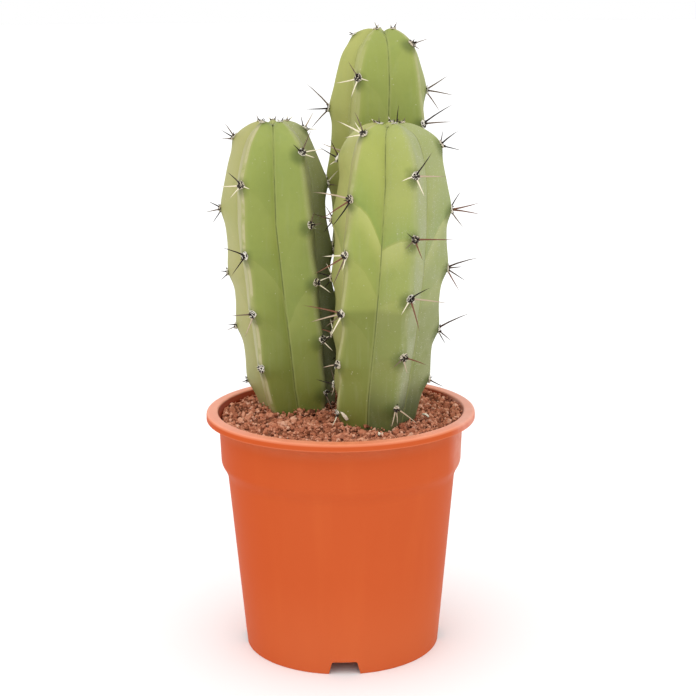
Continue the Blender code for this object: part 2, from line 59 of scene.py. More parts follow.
class Wire:  # a socket that can stand in sums
    def __init__(self, finish, socket):
        self.finish = finish
        self.socket = socket

    def math(self, operation, first, second=0.0, clamp=False):
        settings = {"operation": operation, "use_clamp": clamp}
        return self.finish.node("Math", settings, {0: first, 1: second})

    def __add__(self, other):
        return self.math("ADD", self, other)

    def __sub__(self, other):
        return self.math("SUBTRACT", self, other)

    def __rsub__(self, other):
        return self.math("SUBTRACT", other, self)

    def __mul__(self, other):
        return self.math("MULTIPLY", self, other)

    def __truediv__(self, other):
        return self.math("DIVIDE", self, other)

    def __pow__(self, other):
        return self.math("POWER", self, other)

    __radd__ = __add__
    __rmul__ = __mul__

    def size(self):
        return self.math("ABSOLUTE", self)

    def fraction(self):
        return self.math("FRACT", self)

    def clear(self):  # kept between 0 and 1
        return self.math("ADD", self, 0.0, clamp=True)

    def below(self, edge, soft):  # 1 under the edge, 0 over it
        return self.finish.node(
            "MapRange",
            {"interpolation_type": "SMOOTHSTEP"},
            {"Value": self, "From Min": edge - soft, "From Max": edge + soft, "To Min": 1.0, "To Max": 0.0},
        )

    def above(self, edge, soft):
        return 1.0 - self.below(edge, soft)


class Finish:  # one material and the nodes that paint it
    def __init__(self, name, **constants):
        self.material = bpy.data.materials.new(name)
        self.material.use_nodes = True
        self.tree = self.material.node_tree
        self.shader = self.tree.nodes["Principled BSDF"]
        for socket, value in constants.items():
            self.shader.inputs[socket.replace("_", " ")].default_value = value

    def node(self, kind, settings=None, values=None, output=0):
        made = self.tree.nodes.new("ShaderNode" + kind)
        for key, value in (settings or {}).items():
            if key == "stops":
                ramp = made.color_ramp
                while len(ramp.elements) < len(value):
                    ramp.elements.new(0.5)
                for stop, (place, colour) in zip(ramp.elements, value):
                    stop.position = place
                    stop.color = (*colour, 1.0)
            else:
                setattr(made, key, value)
        for key, value in (values or {}).items():
            if isinstance(value, Wire):
                self.tree.links.new(value.socket, made.inputs[key])
            else:
                made.inputs[key].default_value = value
        return Wire(self, made.outputs[output])

    def place(self):
        return self.node("TexCoord", output="Object")

    def attribute(self, name):
        return self.node("Attribute", {"attribute_name": name}, output="Fac")

    def stretched(self, scale):  # object coordinates with a scale for each axis
        return self.node("Mapping", None, {"Vector": self.place(), "Scale": scale})

    def speckle(self, scale, detail, roughness=0.55, vector=None):
        values = {"Scale": scale, "Detail": detail, "Roughness": roughness}
        return self.node("TexNoise", None, {**values, "Vector": vector or self.place()})

    def cells(self, scale, feature="F1"):
        values = {"Scale": scale, "Vector": self.place()}
        return self.node("TexVoronoi", {"feature": feature}, values, "Distance")

    def ramp(self, value, stops):
        return self.node("ValToRGB", {"stops": stops}, {"Fac": value}, "Color")

    def blend(self, share, under, over):
        under = under if isinstance(under, Wire) else (*under, 1.0)
        settings = {"data_type": "RGBA", "blend_type": "MIX", "clamp_factor": True}
        return self.node("Mix", settings, {0: share, 6: under, 7: (*over, 1.0)}, 2)

    def layers(self, tone, coats, **masks):  # lays the named coats over a tone, each where its mask is
        for name, mask in masks.items():
            strength, colour = coats[name]
            tone = self.blend(mask * strength, tone, colour)
        return tone

    def paint(self, **links):
        for socket, wire in links.items():
            self.tree.links.new(wire.socket, self.shader.inputs[socket.replace("_", " ")])

    def bump(self, height, distance, strength):
        made = self.node("Bump", None, {"Height": height, "Distance": distance, "Strength": strength})
        self.paint(Normal=made)


def onlySelect(obj):
    for other in list(bpy.context.selected_objects):
        other.select_set(False)
    obj.select_set(True)
    bpy.context.view_layer.objects.active = obj
    return obj


def startEdit():  # opens the active mesh, all selected
    bpy.ops.object.mode_set(mode="EDIT")
    bpy.ops.mesh.select_all(action="SELECT")


def endEdit():  # turns all faces outward and closes the mesh
    bpy.ops.mesh.select_all(action="SELECT")
    bpy.ops.mesh.normals_make_consistent(inside=False)
    bpy.ops.object.mode_set(mode="OBJECT")


def applyAll(obj):
    onlySelect(obj)
    for modifier in list(obj.modifiers):
        bpy.ops.object.modifier_apply(modifier=modifier.name)


def settle(obj):  # the place goes into the mesh, so that the object sits at the origin
    onlySelect(obj)
    bpy.ops.object.transform_apply(location=True, rotation=True, scale=True)


def hand(obj, finish, slot, *nodes):  # gives a piece its finish and its place in the frame
    obj.data.materials.clear()
    obj.data.materials.append(finish.material)
    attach(obj, "root")
    if nodes:
        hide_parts(*nodes)
    print("piece", obj.name, len(obj.data.polygons), "faces")


def readPoints(mesh):
    points = np.empty(len(mesh.vertices) * 3, np.float32)
    mesh.vertices.foreach_get("co", points)
    return points.reshape(-1, 3).astype(float)


def writePoints(mesh, points):
    mesh.vertices.foreach_set("co", np.asarray(points, np.float32).ravel())
    mesh.update()


def writeAttribute(mesh, name, values):
    made = mesh.attributes.new(name, "FLOAT", "POINT")
    made.data.foreach_set("value", np.asarray(values, np.float32).ravel())


def ease(value):
    value = np.clip(value, 0.0, 1.0)
    return value * value * (3.0 - 2.0 * value)


# stage and camera

studio = {
    "camera": (0.0, -0.942, 0.402),
    "pitch": 12.53,
    "yaw": 0.30,
    "roll": -0.43,
    "focalPixels": 1533.0,
    "framePixels": 696.0,
    "sensor": 36.0,
    "farthest": 50.0,
    "floor": (0.96, 0.96, 0.96),
    "floorRadius": 40.0,
    "sky": 1.0,
    "sun": {"strength": 0.9, "angle": 75.0, "turn": (24.0, 0.0, -14.0)},
}


def makeCamera():
    pitch, yaw, roll = (math.radians(studio[turn]) for turn in ("pitch", "yaw", "roll"))
    ahead = Vector((math.sin(yaw) * math.cos(pitch), math.cos(yaw) * math.cos(pitch), -math.sin(pitch)))
    level = ahead.cross(Vector((0.0, 0.0, 1.0))).normalized()
    up = level.cross(ahead)
    right = level * math.cos(roll) + up * math.sin(roll)
    up = up * math.cos(roll) - level * math.sin(roll)
    bpy.ops.object.camera_add(location=studio["camera"])
    camera = bpy.context.object
    camera.name = "camera"
    camera.rotation_mode = "QUATERNION"
    camera.rotation_quaternion = Matrix((right, up, -ahead)).transposed().to_quaternion()
    camera.data.sensor_width = studio["sensor"]
    camera.data.lens = studio["focalPixels"] / studio["framePixels"] * studio["sensor"]
    camera.data.clip_end = studio["farthest"]
    bpy.context.scene.camera = camera


def makeStage():
    world = bpy.data.worlds.new("softRoom")
    world.use_nodes = True
    background = world.node_tree.nodes["Background"].inputs
    background["Color"].default_value = (1.0, 1.0, 1.0, 1.0)
    background["Strength"].default_value = studio["sky"]
    bpy.context.scene.world = world
    bpy.context.scene.view_settings.view_transform = "Standard"
    bpy.ops.mesh.primitive_circle_add(vertices=96, radius=studio["floorRadius"], fill_type="NGON")
    floor = bpy.context.object
    floor.name = "floor"
    finish = Finish("paleFloor", Base_Color=(*studio["floor"], 1.0), Roughness=0.9)
    floor.data.materials.append(finish.material)
    sun = studio["sun"]
    bpy.ops.object.light_add(type="SUN", rotation=[math.radians(turn) for turn in sun["turn"]])
    light = bpy.context.object
    light.name = "softSun"
    light.data.energy = sun["strength"]
    light.data.angle = math.radians(sun["angle"])


makeStage()
makeCamera()
print("stage and camera made")


# pot

potSizes = {
    "height": 0.154,
    "rimRadius": 0.085,
    "rimWidth": 0.0068,
    "skirtDepth": 0.0048,
    "skirtThickness": 0.0013,
    "wall": 0.0016,
    "collarTop": 0.0773,
    "collarFoot": (0.0762, 0.122),
    "stepDepth": 0.0040,
    "stepHeight": 0.0094,
    "stepCurve": ((0.25, 0.32), (0.86, 0.80)),
    "footRadius": 0.0621,
    "footRing": 0.0019,
    "recess": 0.0090,
    "lipTaper": 0.0003,
    "rounding": {
        "floor": 0.0012,
        "step": 0.0020,
        "collar": 0.0015,
        "lipInside": 0.0007,
        "lip": 0.0026,
        "skirt": 0.0004,
        "underLip": 0.0006,
        "foot": 0.0005,
        "footInside": 0.0004,
        "recess": 0.0006,
    },
    "roundSteps": 4,
    "smoothAngle": 28.0,
    "segments": 176,
    "notch": {
        "count": 4,
        "first": 1.0,
        "footWidth": 0.0204,
        "topWidth": 0.0162,
        "height": 0.0083,
        "through": 0.014,
        "under": 0.004,
        "flare": 1.3,
        "round": 0.0016,
    },
    "drain": {"count": 8, "first": 23.5, "radius": 0.0048, "circle": 0.0475, "through": 0.008},
}


def potProfile():  # (radius, height, rounding) from the floor's middle, up the inside and down the outside
    p = potSizes
    wall, top = p["wall"], p["height"]
    footRadius, recess = p["footRadius"], p["recess"]
    collarRadius, collarHeight = p["collarFoot"]
    stepHeight = collarHeight - p["stepHeight"]
    stepRadius = collarRadius - p["stepDepth"]
    taper = (stepRadius - footRadius) / stepHeight
    floor = recess + wall
    skirt = top - p["skirtDepth"]
    rim, inner = p["rimRadius"], p["rimRadius"] - p["rimWidth"]
    turn = p["rounding"]
    step = [
        (stepRadius + out * p["stepDepth"] - wall, stepHeight + up * p["stepHeight"], turn["step"])
        for out, up in ((0.0, 0.0), *p["stepCurve"], (1.0, 1.0))
    ]
    inside = [
        (footRadius + taper * floor - wall, floor, turn["floor"]),
        *step,
        (p["collarTop"] - wall, skirt + wall / 2, turn["collar"]),
    ]
    outside = [(radius + wall, height, rounding) for radius, height, rounding in reversed(inside[1:])]
    lip = [
        (inner, top, turn["lipInside"]),
        (rim, top, turn["lip"]),
        (rim, skirt, turn["skirt"]),
        (rim - p["skirtThickness"], skirt, turn["skirt"]),
        (rim - p["skirtThickness"], top - wall, turn["underLip"]),
        (inner + p["lipTaper"], top - wall, turn["underLip"]),
    ]
    foot = [
        (footRadius, 0.0, turn["foot"]),
        (footRadius - p["footRing"], 0.0, turn["footInside"]),
        (footRadius - p["footRing"], recess, turn["recess"]),
        (0.0, recess, 0.0),
    ]
    return [(0.0, floor, 0.0), *inside, *lip, *outside, *foot]


def roundCorners(corners, steps):  # swaps each corner for an arc, of at most 45% of either side
    made = [Vector(corners[0][:2])]
    for before, here, after in zip(corners, corners[1:], corners[2:]):
        corner = Vector(here[:2])
        toBefore = Vector(before[:2]) - corner
        toAfter = Vector(after[:2]) - corner
        reach = min(here[2], 0.45 * toBefore.length, 0.45 * toAfter.length)
        start = corner + toBefore.normalized() * reach
        end = corner + toAfter.normalized() * reach
        for step in range(steps + 1):
            t = step / steps
            made.append(start * (1 - t) ** 2 + corner * 2 * t * (1 - t) + end * t ** 2)
    made.append(Vector(corners[-1][:2]))
    return made


def turnOnAxis(name, outline, segments):  # draws an outline point by point, then spins it round Z
    bpy.ops.mesh.primitive_plane_add(size=0.001)
    obj = bpy.context.object
    obj.name = name
    startEdit()
    bpy.ops.mesh.merge(type="CENTER")
    bpy.ops.transform.translate(value=(outline[0].x, 0.0, outline[0].y))
    for before, here in zip(outline, outline[1:]):
        step = here - before
        bpy.ops.mesh.extrude_region_move(TRANSFORM_OT_translate={"value": (step.x, 0.0, step.y)})
    bpy.ops.mesh.select_all(action="SELECT")
    bpy.ops.mesh.spin(steps=segments, angle=math.tau, center=(0.0, 0.0, 0.0), axis=(0.0, 0.0, 1.0))
    bpy.ops.mesh.select_all(action="SELECT")
    bpy.ops.mesh.remove_doubles(threshold=0.00001)
    endEdit()
    return obj


def cutAway(obj, cutter):
    boolean = obj.modifiers.new("cut", "BOOLEAN")
    boolean.operation = "DIFFERENCE"
    boolean.solver = "EXACT"
    boolean.object = cutter
    applyAll(obj)
    bpy.data.objects.remove(cutter)


def notchCutter(bearing):  # a block with rounded upper edges and a wider foot
    notch = potSizes["notch"]
    tall = notch["height"] + notch["under"]
    bpy.ops.mesh.primitive_cube_add(size=1.0)
    cutter = bpy.context.object
    cutter.scale = (notch["topWidth"], notch["through"], tall)
    settle(cutter)
    bpy.ops.object.mode_set(mode="EDIT")
    bm = bmesh.from_edit_mesh(cutter.data)
    for edge in bm.edges:
        first, second = (corner.co for corner in edge.verts)
        edge.select_set(min(first.z, second.z) > 0 and abs(first.x - second.x) < 1e-6)
    bmesh.update_edit_mesh(cutter.data)
    bpy.ops.mesh.bevel(offset=notch["round"], segments=4)
    bpy.ops.mesh.select_all(action="DESELECT")
    bm = bmesh.from_edit_mesh(cutter.data)
    for corner in bm.verts:
        corner.select_set(corner.co.z < -0.001)
    bm.select_flush(True)
    bmesh.update_edit_mesh(cutter.data)
    wider = 1.0 + (notch["footWidth"] - notch["topWidth"]) / notch["topWidth"] * notch["flare"]
    bpy.ops.transform.resize(value=(wider, 1.0, 1.0))
    bpy.ops.object.mode_set(mode="OBJECT")
    out = Vector((math.sin(bearing), -math.cos(bearing), 0.0)) * potSizes["footRadius"]
    cutter.location = (out.x, out.y, notch["height"] - tall / 2)
    cutter.rotation_euler = (0.0, 0.0, bearing)
    settle(cutter)
    return cutter


def makePot():
    outline = roundCorners(potProfile(), potSizes["roundSteps"])
    pot = turnOnAxis("potBody", outline, potSizes["segments"])
    notch, drain = potSizes["notch"], potSizes["drain"]
    for number in range(notch["count"]):
        cutAway(pot, notchCutter(math.radians(notch["first"] + 360 / notch["count"] * number)))
    for number in range(drain["count"]):
        bearing = math.radians(drain["first"] + 360 / drain["count"] * number)
        out = Vector((math.sin(bearing), -math.cos(bearing), 0.0)) * drain["circle"]
        bpy.ops.mesh.primitive_cylinder_add(vertices=32, radius=drain["radius"], depth=drain["through"])
        hole = bpy.context.object
        hole.location = (out.x, out.y, potSizes["recess"])
        settle(hole)
        cutAway(pot, hole)
    onlySelect(pot)
    bpy.ops.object.shade_smooth_by_angle(angle=math.radians(potSizes["smoothAngle"]))
    return pot


potEdges = {  # where each change lies and how soft it is: down from the top, in from the rim, or plain
    "top": {
        "lip": (0.0007, 0.0005),
        "edge": (0.0016, 0.0004),
        "skirtFoot": (0.0042, 0.0003),
        "inside": (0.0240, 0.0020),
        "funnel": (0.0047, 0.0002),
        "underLip": (0.0100, 0.0050),
        "scuff": (0.0400, 0.0040),
    },
    "rim": {
        "edge": (0.0009, 0.0003),
        "skirtFoot": (0.0020, 0.0002),
        "inside": (0.0089, 0.0002),
        "funnel": (0.0071, 0.0003),
        "underLip": (0.0040, 0.0010),
        "scuff": (0.0112, 0.0008),
    },
    "flow": (0.60, 0.14),
    "foot": (0.036, 0.030),
    "left": (-0.044, 0.024),
    "right": (0.070, 0.005),
}
potCoats = {  # how strong each coat over the plastic is, and its colour; several are painted light or painted shade, as marked below
    "flow": (0.30, (0.620, 0.125, 0.034)),
    # painted light: the pot grows lighter towards its foot, as bounce light from the pale floor would make
    # it
    "foot": (0.55, (0.620, 0.138, 0.046)),
    # painted shade: a darker orange on the pot's left side, toning down the sheen the lamps give it
    "left": (0.50, (0.560, 0.080, 0.014)),
    # painted light: a pale band on the collar just under the lip, lifting the shade the lip casts there
    "underLip": (1.00, (0.680, 0.210, 0.105)),
    # painted shade: the inner wall and the lip's inner funnel darkened to red-brown, as they lie in shade
    "inside": (0.80, (0.200, 0.025, 0.009)),
    # painted light: the lip's top face paler, standing for its sheen under the lamps
    "lip": (1.00, (0.920, 0.390, 0.200)),
    # painted sheen: the lip paler towards its left and right sides, where it is seen edge-on
    "lipSides": (0.60, (0.900, 0.450, 0.350)),
    # painted highlight: a pale line along the lip's outer top edge
    "edge": (0.38, (0.880, 0.350, 0.200)),
    # painted highlight: a pale sheen on the collar and step at the pot's right edge, broken up by the wear
    # noise
    "scuff": (1.00, (0.800, 0.430, 0.350)),
    # painted highlight: a pale line along the foot of the lip's skirt
    "skirtFoot": (0.40, (0.760, 0.240, 0.120)),
}
potTones = {"deep": (0.555, 0.094, 0.025), "bright": (0.590, 0.108, 0.031)}


def potPlastic():
    finish = Finish("orangePlastic", Specular_IOR_Level=0.02)
    x, y, height = (finish.node("SeparateXYZ", None, {0: finish.place()}, axis) for axis in "XYZ")
    radius = (x * x + y * y) ** 0.5

    def nearTop(name):
        depth, soft = potEdges["top"][name]
        return height.above(potSizes["height"] - depth, soft)

    def nearRim(name):
        width, soft = potEdges["rim"][name]
        return radius.above(potSizes["rimRadius"] - width, soft)

    broad = finish.speckle(9.0, 2.0)
    flow = finish.speckle(1.0, 3.0, vector=finish.stretched((60.0, 60.0, 7.0)))
    fine = finish.speckle(900.0, 2.0)
    # a noise that varies the plastic's roughness and bump as wear, and also breaks up the painted light on
    # the lip, under the lip and at the right edge
    rubbed = finish.speckle(55.0, 5.0, 0.7)
    wear = 0.8 * (rubbed - 0.5)
    lip = nearTop("lip")
    collar = nearRim("inside") * (1.0 - nearRim("underLip"))
    # painted shade inside the pot: the inner wall and the funnel at the lip
    inside = (1.0 - nearRim("inside")) * nearTop("inside")
    funnel = (1.0 - nearRim("funnel")) * nearTop("funnel")
    # painted highlight at the pot's right edge
    scuff = x.above(*potEdges["right"]) * nearRim("scuff") * nearTop("scuff")
    tone = finish.layers(
        finish.blend(broad, potTones["deep"], potTones["bright"]),
        potCoats,
        flow=flow.above(*potEdges["flow"]),
        # painted bounce light towards the foot
        foot=height.below(*potEdges["foot"]),
        # painted shade on the pot's left side
        left=x.below(*potEdges["left"]),
        # painted light under the lip, broken up by the wear noise
        underLip=nearTop("underLip") * collar * (0.38 + wear).clear(),
        inside=(inside + funnel).clear(),
        # painted light on the lip's top, broken up by the wear noise
        lip=lip * (0.38 + wear).clear(),
        # painted sheen on the lip's sides
        lipSides=lip * (x.size() / potSizes["rimRadius"]),
        # painted highlight on the lip's outer edge
        edge=nearTop("edge") * nearRim("edge"),
        scuff=scuff * (0.42 + 1.5 * wear).clear(),
        # painted highlight at the foot of the skirt
        skirtFoot=(1.0 - nearTop("skirtFoot")) * nearRim("skirtFoot"),
    )
    finish.paint(Base_Color=tone, Roughness=0.42 + 0.16 * (flow - 0.5) + 0.1 * wear - 0.10 * lip)
    finish.bump(fine * 0.30 + flow * 0.50 + rubbed * 0.20, 0.00010, 0.6)
    return finish


hand(makePot(), potPlastic(), "pot", "pot")


# stems

ground = 0.151  # where the stems leave the soil

ribSizes = {
    "grooveShare": 0.73,
    "swell": 0.032,
    "fadeBelow": 0.016,
    "crownDip": 0.0042,
    "crownReach": 0.030,
    "crestRound": 0.09,
    "crease": (0.0004, 0.0009),
    "creaseFull": 0.012,
    "rise": 0.0027,
    "riseAbove": 0.013,
    "riseBelow": 0.0065,
    "riseFull": 0.010,
    "probe": (0.0015, 0.05),
    "spacing": 0.0005,
    "rows": 230,
    "rowSpread": 1.25,
    "halfRib": 16,
    "crowding": 0.10,
    "buried": ((0.0, -0.038), (0.0095, -0.0368), (0.0155, -0.031), (0.0185, -0.016)),
}

# axis (height, x, y), outline (radius, height), rib bearings at the tip and at the soil,
# the areoles' distances from the tip on each rib, the tones of the faces left and right of each rib
# (the tan and waxy bloom tones partly painted sheen and light, the shade tones painted shade),
# how pale each crest is (partly a painted highlight), how the skin ages towards the soil,
# how strong each growth mark is and the faces, by rib and side, whose marks sag more or less than usual
stemForms = {
    "front": {
        "axis": ((-0.040, 0.0215, -0.0215), (0.0, 0.0222, -0.0215), (0.017, 0.0229, -0.0218),
                 (0.060, 0.0264, -0.0225), (0.100, 0.0289, -0.0228), (0.150, 0.0309, -0.0230),
                 (0.185, 0.0300, -0.0230)),
        "outline": ((0.0237, 0.000), (0.0266, 0.013), (0.0302, 0.038), (0.0328, 0.070), (0.0353, 0.104),
                    (0.0354, 0.128), (0.0337, 0.150), (0.0305, 0.166), (0.0264, 0.1745), (0.0202, 0.1800),
                    (0.0130, 0.1832), (0.0070, 0.1838), (0.0000, 0.1812)),
        "ribs": ((-39, -62), (23, 21), (96, 95), (168.5, 168.5), (243, 241)),
        "areoles": (
            (0.0235, 0.064, 0.097, 0.133, 0.165, 0.197),
            (0.050, 0.087, 0.1225, 0.1585, 0.191),
            (0.0345, 0.0745, 0.1105, 0.1485, 0.180),
            (0.028, 0.066, 0.103, 0.139, 0.173),
            (0.044, 0.082, 0.118, 0.153, 0.186),
        ),
        "yellow": ((0.5, 0.50), (0.50, 0.33), (0.3, 0.3), (0.4, 0.6), (0.5, 0.6)),
        "tan": ((0.9, 0.05), (0.05, 0.0), (0.0, 0.1), (0.1, 0.2), (0.3, 0.6)),
        "shade": ((0.1, 0.05), (0.55, 0.95), (0.8, 0.3), (0.3, 0.3), (0.1, 0.1)),
        "shadeReach": 0.034,
        "bloom": ((0.0, 0.0), (0.20, 1.0), (0.7, 0.3), (0.2, 0.1), (0.0, 0.0)),
        "band": (0.35, 0.10, 0.25, 0.2, 0.3),
        "ageing": ((0.012, 1.0), (0.045, 1.0), (0.0725, 0.98), (0.0765, 0.50),
                   (0.115, 0.24), (0.150, 0.05)),
        "marks": (0.0, 0.0, 1.0, 0.20, 0.10, 0.05, 0.0, 0.0),
        "sag": {(1, 0): 0.30},
    },
    "left": {
        "axis": ((-0.040, -0.0285, 0.0215), (0.0, -0.0289, 0.0215), (0.015, -0.0310, 0.0213),
                 (0.038, -0.0329, 0.0210), (0.075, -0.0363, 0.0210), (0.120, -0.0402, 0.0210),
                 (0.184, -0.0408, 0.0210)),
        "outline": ((0.0252, 0.000), (0.0280, 0.015), (0.0305, 0.038), (0.0324, 0.075), (0.0333, 0.098),
                    (0.0338, 0.124), (0.0324, 0.146), (0.0286, 0.161), (0.0243, 0.1705), (0.0180, 0.1775),
                    (0.0122, 0.1812), (0.0070, 0.1824), (0.0000, 0.1800)),
        "ribs": ((-33, -32), (38, 46), (113, 97), (181.5, 181.5), (253.5, 253.5)),
        "areoles": (
            (0.009, 0.0555, 0.099, 0.136, 0.171),
            (0.0355, 0.0805, 0.1165, 0.153, 0.1885),
            (0.0205, 0.060, 0.1025, 0.139, 0.174),
            (0.032, 0.074, 0.113, 0.149, 0.183),
            (0.0275, 0.0745, 0.1155, 0.1505, 0.187),
        ),
        "yellow": ((0.3, 0.14), (0.10, 0.5), (0.3, 0.3), (0.5, 0.4), (0.4, 0.5)),
        "tan": ((1.0, 0.0), (0.0, 0.75), (0.4, 0.1), (0.2, 0.2), (0.4, 0.8)),
        "shade": ((0.0, 0.04), (0.0, 0.50), (0.5, 0.3), (0.2, 0.1), (0.0, 0.0)),
        "shadeReach": 0.130,
        "bloom": ((0.0, 0.0), (0.0, 1.0), (0.90, 0.3), (0.0, 0.0), (0.0, 0.0)),
        "band": (0.85, 0.0, 0.15, 0.2, 0.4),
        "ageing": ((0.012, 0.80), (0.040, 0.50), (0.075, 0.34), (0.120, 0.20), (0.165, 0.05)),
        "marks": (0.0, 0.0, 0.06, 0.22, 0.06, 0.03, 0.0),
        "sag": {(1, 0): 1.20},
    },
    "back": {
        "axis": ((-0.040, 0.0225, 0.0380), (0.0, 0.0230, 0.0385), (0.080, 0.0245, 0.0400),
                 (0.160, 0.0264, 0.0415), (0.200, 0.0279, 0.0418), (0.241, 0.0281, 0.0420)),
        "outline": ((0.0215, 0.000), (0.0250, 0.026), (0.0268, 0.070), (0.0276, 0.110), (0.0300, 0.127),
                    (0.0312, 0.142), (0.0313, 0.166), (0.0303, 0.194), (0.0282, 0.212), (0.0244, 0.2240),
                    (0.0185, 0.2315), (0.0120, 0.2364), (0.0065, 0.2380), (0.0000, 0.2357)),
        "ribs": ((-91, -91), (-29, -50), (51, 47), (118, 118), (195, 195)),
        "areoles": (
            (0.016, 0.0665, 0.112, 0.155, 0.197, 0.238),
            (0.0465, 0.093, 0.137, 0.180, 0.220),
            (0.0245, 0.0755, 0.120, 0.163, 0.205),
            (0.0565, 0.101, 0.145, 0.188, 0.229),
            (0.032, 0.084, 0.130, 0.174, 0.214),
        ),
        "yellow": ((0.4, 0.85), (0.7, 0.26), (0.22, 0.8), (0.2, 0.4), (0.5, 0.5)),
        "tan": ((0.2, 0.40), (0.50, 0.0), (0.0, 0.3), (0.2, 0.2), (0.2, 0.3)),
        "shade": ((0.1, 0.0), (0.0, 0.0), (0.0, 0.0), (0.1, 0.2), (0.2, 0.2)),
        "shadeReach": 0.100,
        "bloom": ((0.0, 0.0), (0.0, 0.0), (0.0, 1.0), (0.2, 0.0), (0.0, 0.0)),
        "band": (0.2, 0.24, 0.3, 0.3, 0.2),
        "ageing": ((0.120, 0.90), (0.150, 0.60), (0.175, 0.42), (0.215, 0.18)),
        "marks": (0.0, 0.1, 0.1, 0.2, 0.2, 0.1, 0.0, 0.0),
        "sag": {},
    },
}


def smoothLine(controls, spacing):  # evenly spaced points on the smooth curve through the controls
    points = np.array(controls, float)
    points = np.vstack([2 * points[0] - points[1], points, 2 * points[-1] - points[-2]])
    steps = np.diff(points, axis=0)
    lengths = np.linalg.norm(steps, axis=1)[:, None]
    slopes = steps / lengths
    tangents = (slopes[:-1] * lengths[1:] + slopes[1:] * lengths[:-1]) / (lengths[:-1] + lengths[1:])
    t = np.linspace(0.0, 1.0, 49)[:-1, None]  # 48 short steps to a span
    traced = []
    for index in range(1, len(points) - 2):
        span = lengths[index]
        traced.append(
            (2 * t**3 - 3 * t**2 + 1) * points[index]
            + (t**3 - 2 * t**2 + t) * tangents[index - 1] * span
            + (3 * t**2 - 2 * t**3) * points[index + 1]
            + (t**3 - t**2) * tangents[index] * span
        )
    traced = np.vstack([*traced, points[-2]])
    walked = np.concatenate([[0.0], np.cumsum(np.linalg.norm(np.diff(traced, axis=0), axis=1))])
    even = np.linspace(0.0, walked[-1], max(2, round(walked[-1] / spacing)) + 1)
    return np.stack([np.interp(even, walked, column) for column in traced.T], 1)


class Stem:  # the shape of one ribbed column
    def __init__(self, name):
        self.name = name
        self.form = stemForms[name]
        self.line = smoothLine(ribSizes["buried"] + self.form["outline"], ribSizes["spacing"])[::-1]
        self.along = np.concatenate([[0.0], np.cumsum(np.linalg.norm(np.diff(self.line, axis=0), axis=1))])
        self.length = self.along[-1]
        self.top = self.line[:, 1].max()
        self.ribs = len(self.form["ribs"])
        self.areoles = self.form["areoles"]

    def crest(self, fromTip):  # radius and height on the crest
        return [np.interp(fromTip, self.along, column) for column in self.line.T]

    def axis(self, height):
        heights, x, y = np.array(self.form["axis"]).T
        return np.stack([np.interp(height, heights, x), np.interp(height, heights, y), height], -1)

    def bearing(self, turn, height):  # turn is the rib's number, and halves are grooves
        share = (1.0 - np.clip(height / self.top, 0.0, 1.0)) ** 2
        tips, soils = np.radians(np.array(self.form["ribs"], float)).T
        tips = np.unwrap(np.append(tips, tips[0] + math.tau))
        soils = np.unwrap(np.append(soils, soils[0] + math.tau))
        whole = np.floor(turn).astype(int)
        lap, rib = np.divmod(whole, self.ribs)
        part = turn - whole
        crestTip = tips[rib] + part * (tips[rib + 1] - tips[rib])
        crestSoil = soils[rib] + part * (soils[rib + 1] - soils[rib])
        return crestTip + (crestSoil - crestTip) * share + lap * math.tau

    def rise(self, rib, fromTip):  # the swelling round the areoles of a rib
        most = np.zeros_like(fromTip)
        for k, pads in enumerate(self.areoles):
            for pad in pads:
                below = fromTip - pad
                reach = np.where(below > 0, ribSizes["riseBelow"], ribSizes["riseAbove"])
                most = np.where(rib == k, np.maximum(most, np.exp(-((below / reach) ** 2))), most)
        return ribSizes["rise"] * most

    def skin(self, fromTip, turn):  # points on the skin, at distances from the tip and turns round the stem
        fromTip, turn = np.broadcast_arrays(np.asarray(fromTip, float), np.asarray(turn, float))
        radius, height = self.crest(fromTip)
        rib = np.round(turn).astype(int)
        share = np.abs(turn - rib) * 2.0
        grooveTurn = self.bearing(rib + np.where(turn < rib, -0.5, 0.5), height)
        half = np.abs(grooveTurn - self.bearing(rib.astype(float), height))
        showing = ease(1.0 + height / ribSizes["fadeBelow"])
        groove = radius * (1.0 - (1.0 - ribSizes["grooveShare"]) * showing)
        swell = showing * ease(radius / ribSizes["riseFull"])
        crest = radius + swell * self.rise(np.mod(rib, self.ribs), fromTip)
        soft = ribSizes["crestRound"]
        eased = (np.sqrt(share**2 + soft**2) - soft) / (math.sqrt(1.0 + soft**2) - soft)
        spread = half * eased
        across = crest * np.sin(spread) + groove * np.sin(half - spread)
        reach = crest * groove * np.sin(half) / np.maximum(across, 1e-9)
        reach = reach + ribSizes["swell"] * crest * np.sin(math.pi * share)
        depth, width = ribSizes["crease"]
        fromGroove = (1.0 - share) * half * radius
        creased = np.exp(-((fromGroove / width) ** 2)) * showing * ease(radius / ribSizes["creaseFull"])
        reach = reach - depth * creased
        dip = ribSizes["crownDip"] * ease(1.0 - fromTip / ribSizes["crownReach"]) * share**2
        bearing = self.bearing(turn, height)
        points = self.axis(height)
        points[..., 0] += np.sin(bearing) * reach
        points[..., 1] -= np.cos(bearing) * reach
        points[..., 2] += ground - dip
        return points

    def frameAt(self, rib, fromTip):  # a crest's point, its outward direction and its upward one
        step, side = ribSizes["probe"]
        here = Vector(self.skin(fromTip, float(rib)))
        above = Vector(self.skin(fromTip - step, float(rib)))
        below = Vector(self.skin(fromTip + step, float(rib)))
        left = Vector(self.skin(fromTip, rib - side))
        right = Vector(self.skin(fromTip, rib + side))
        up = (above - below).normalized()
        out = (right - left).cross(up).normalized()
        return here, out, up


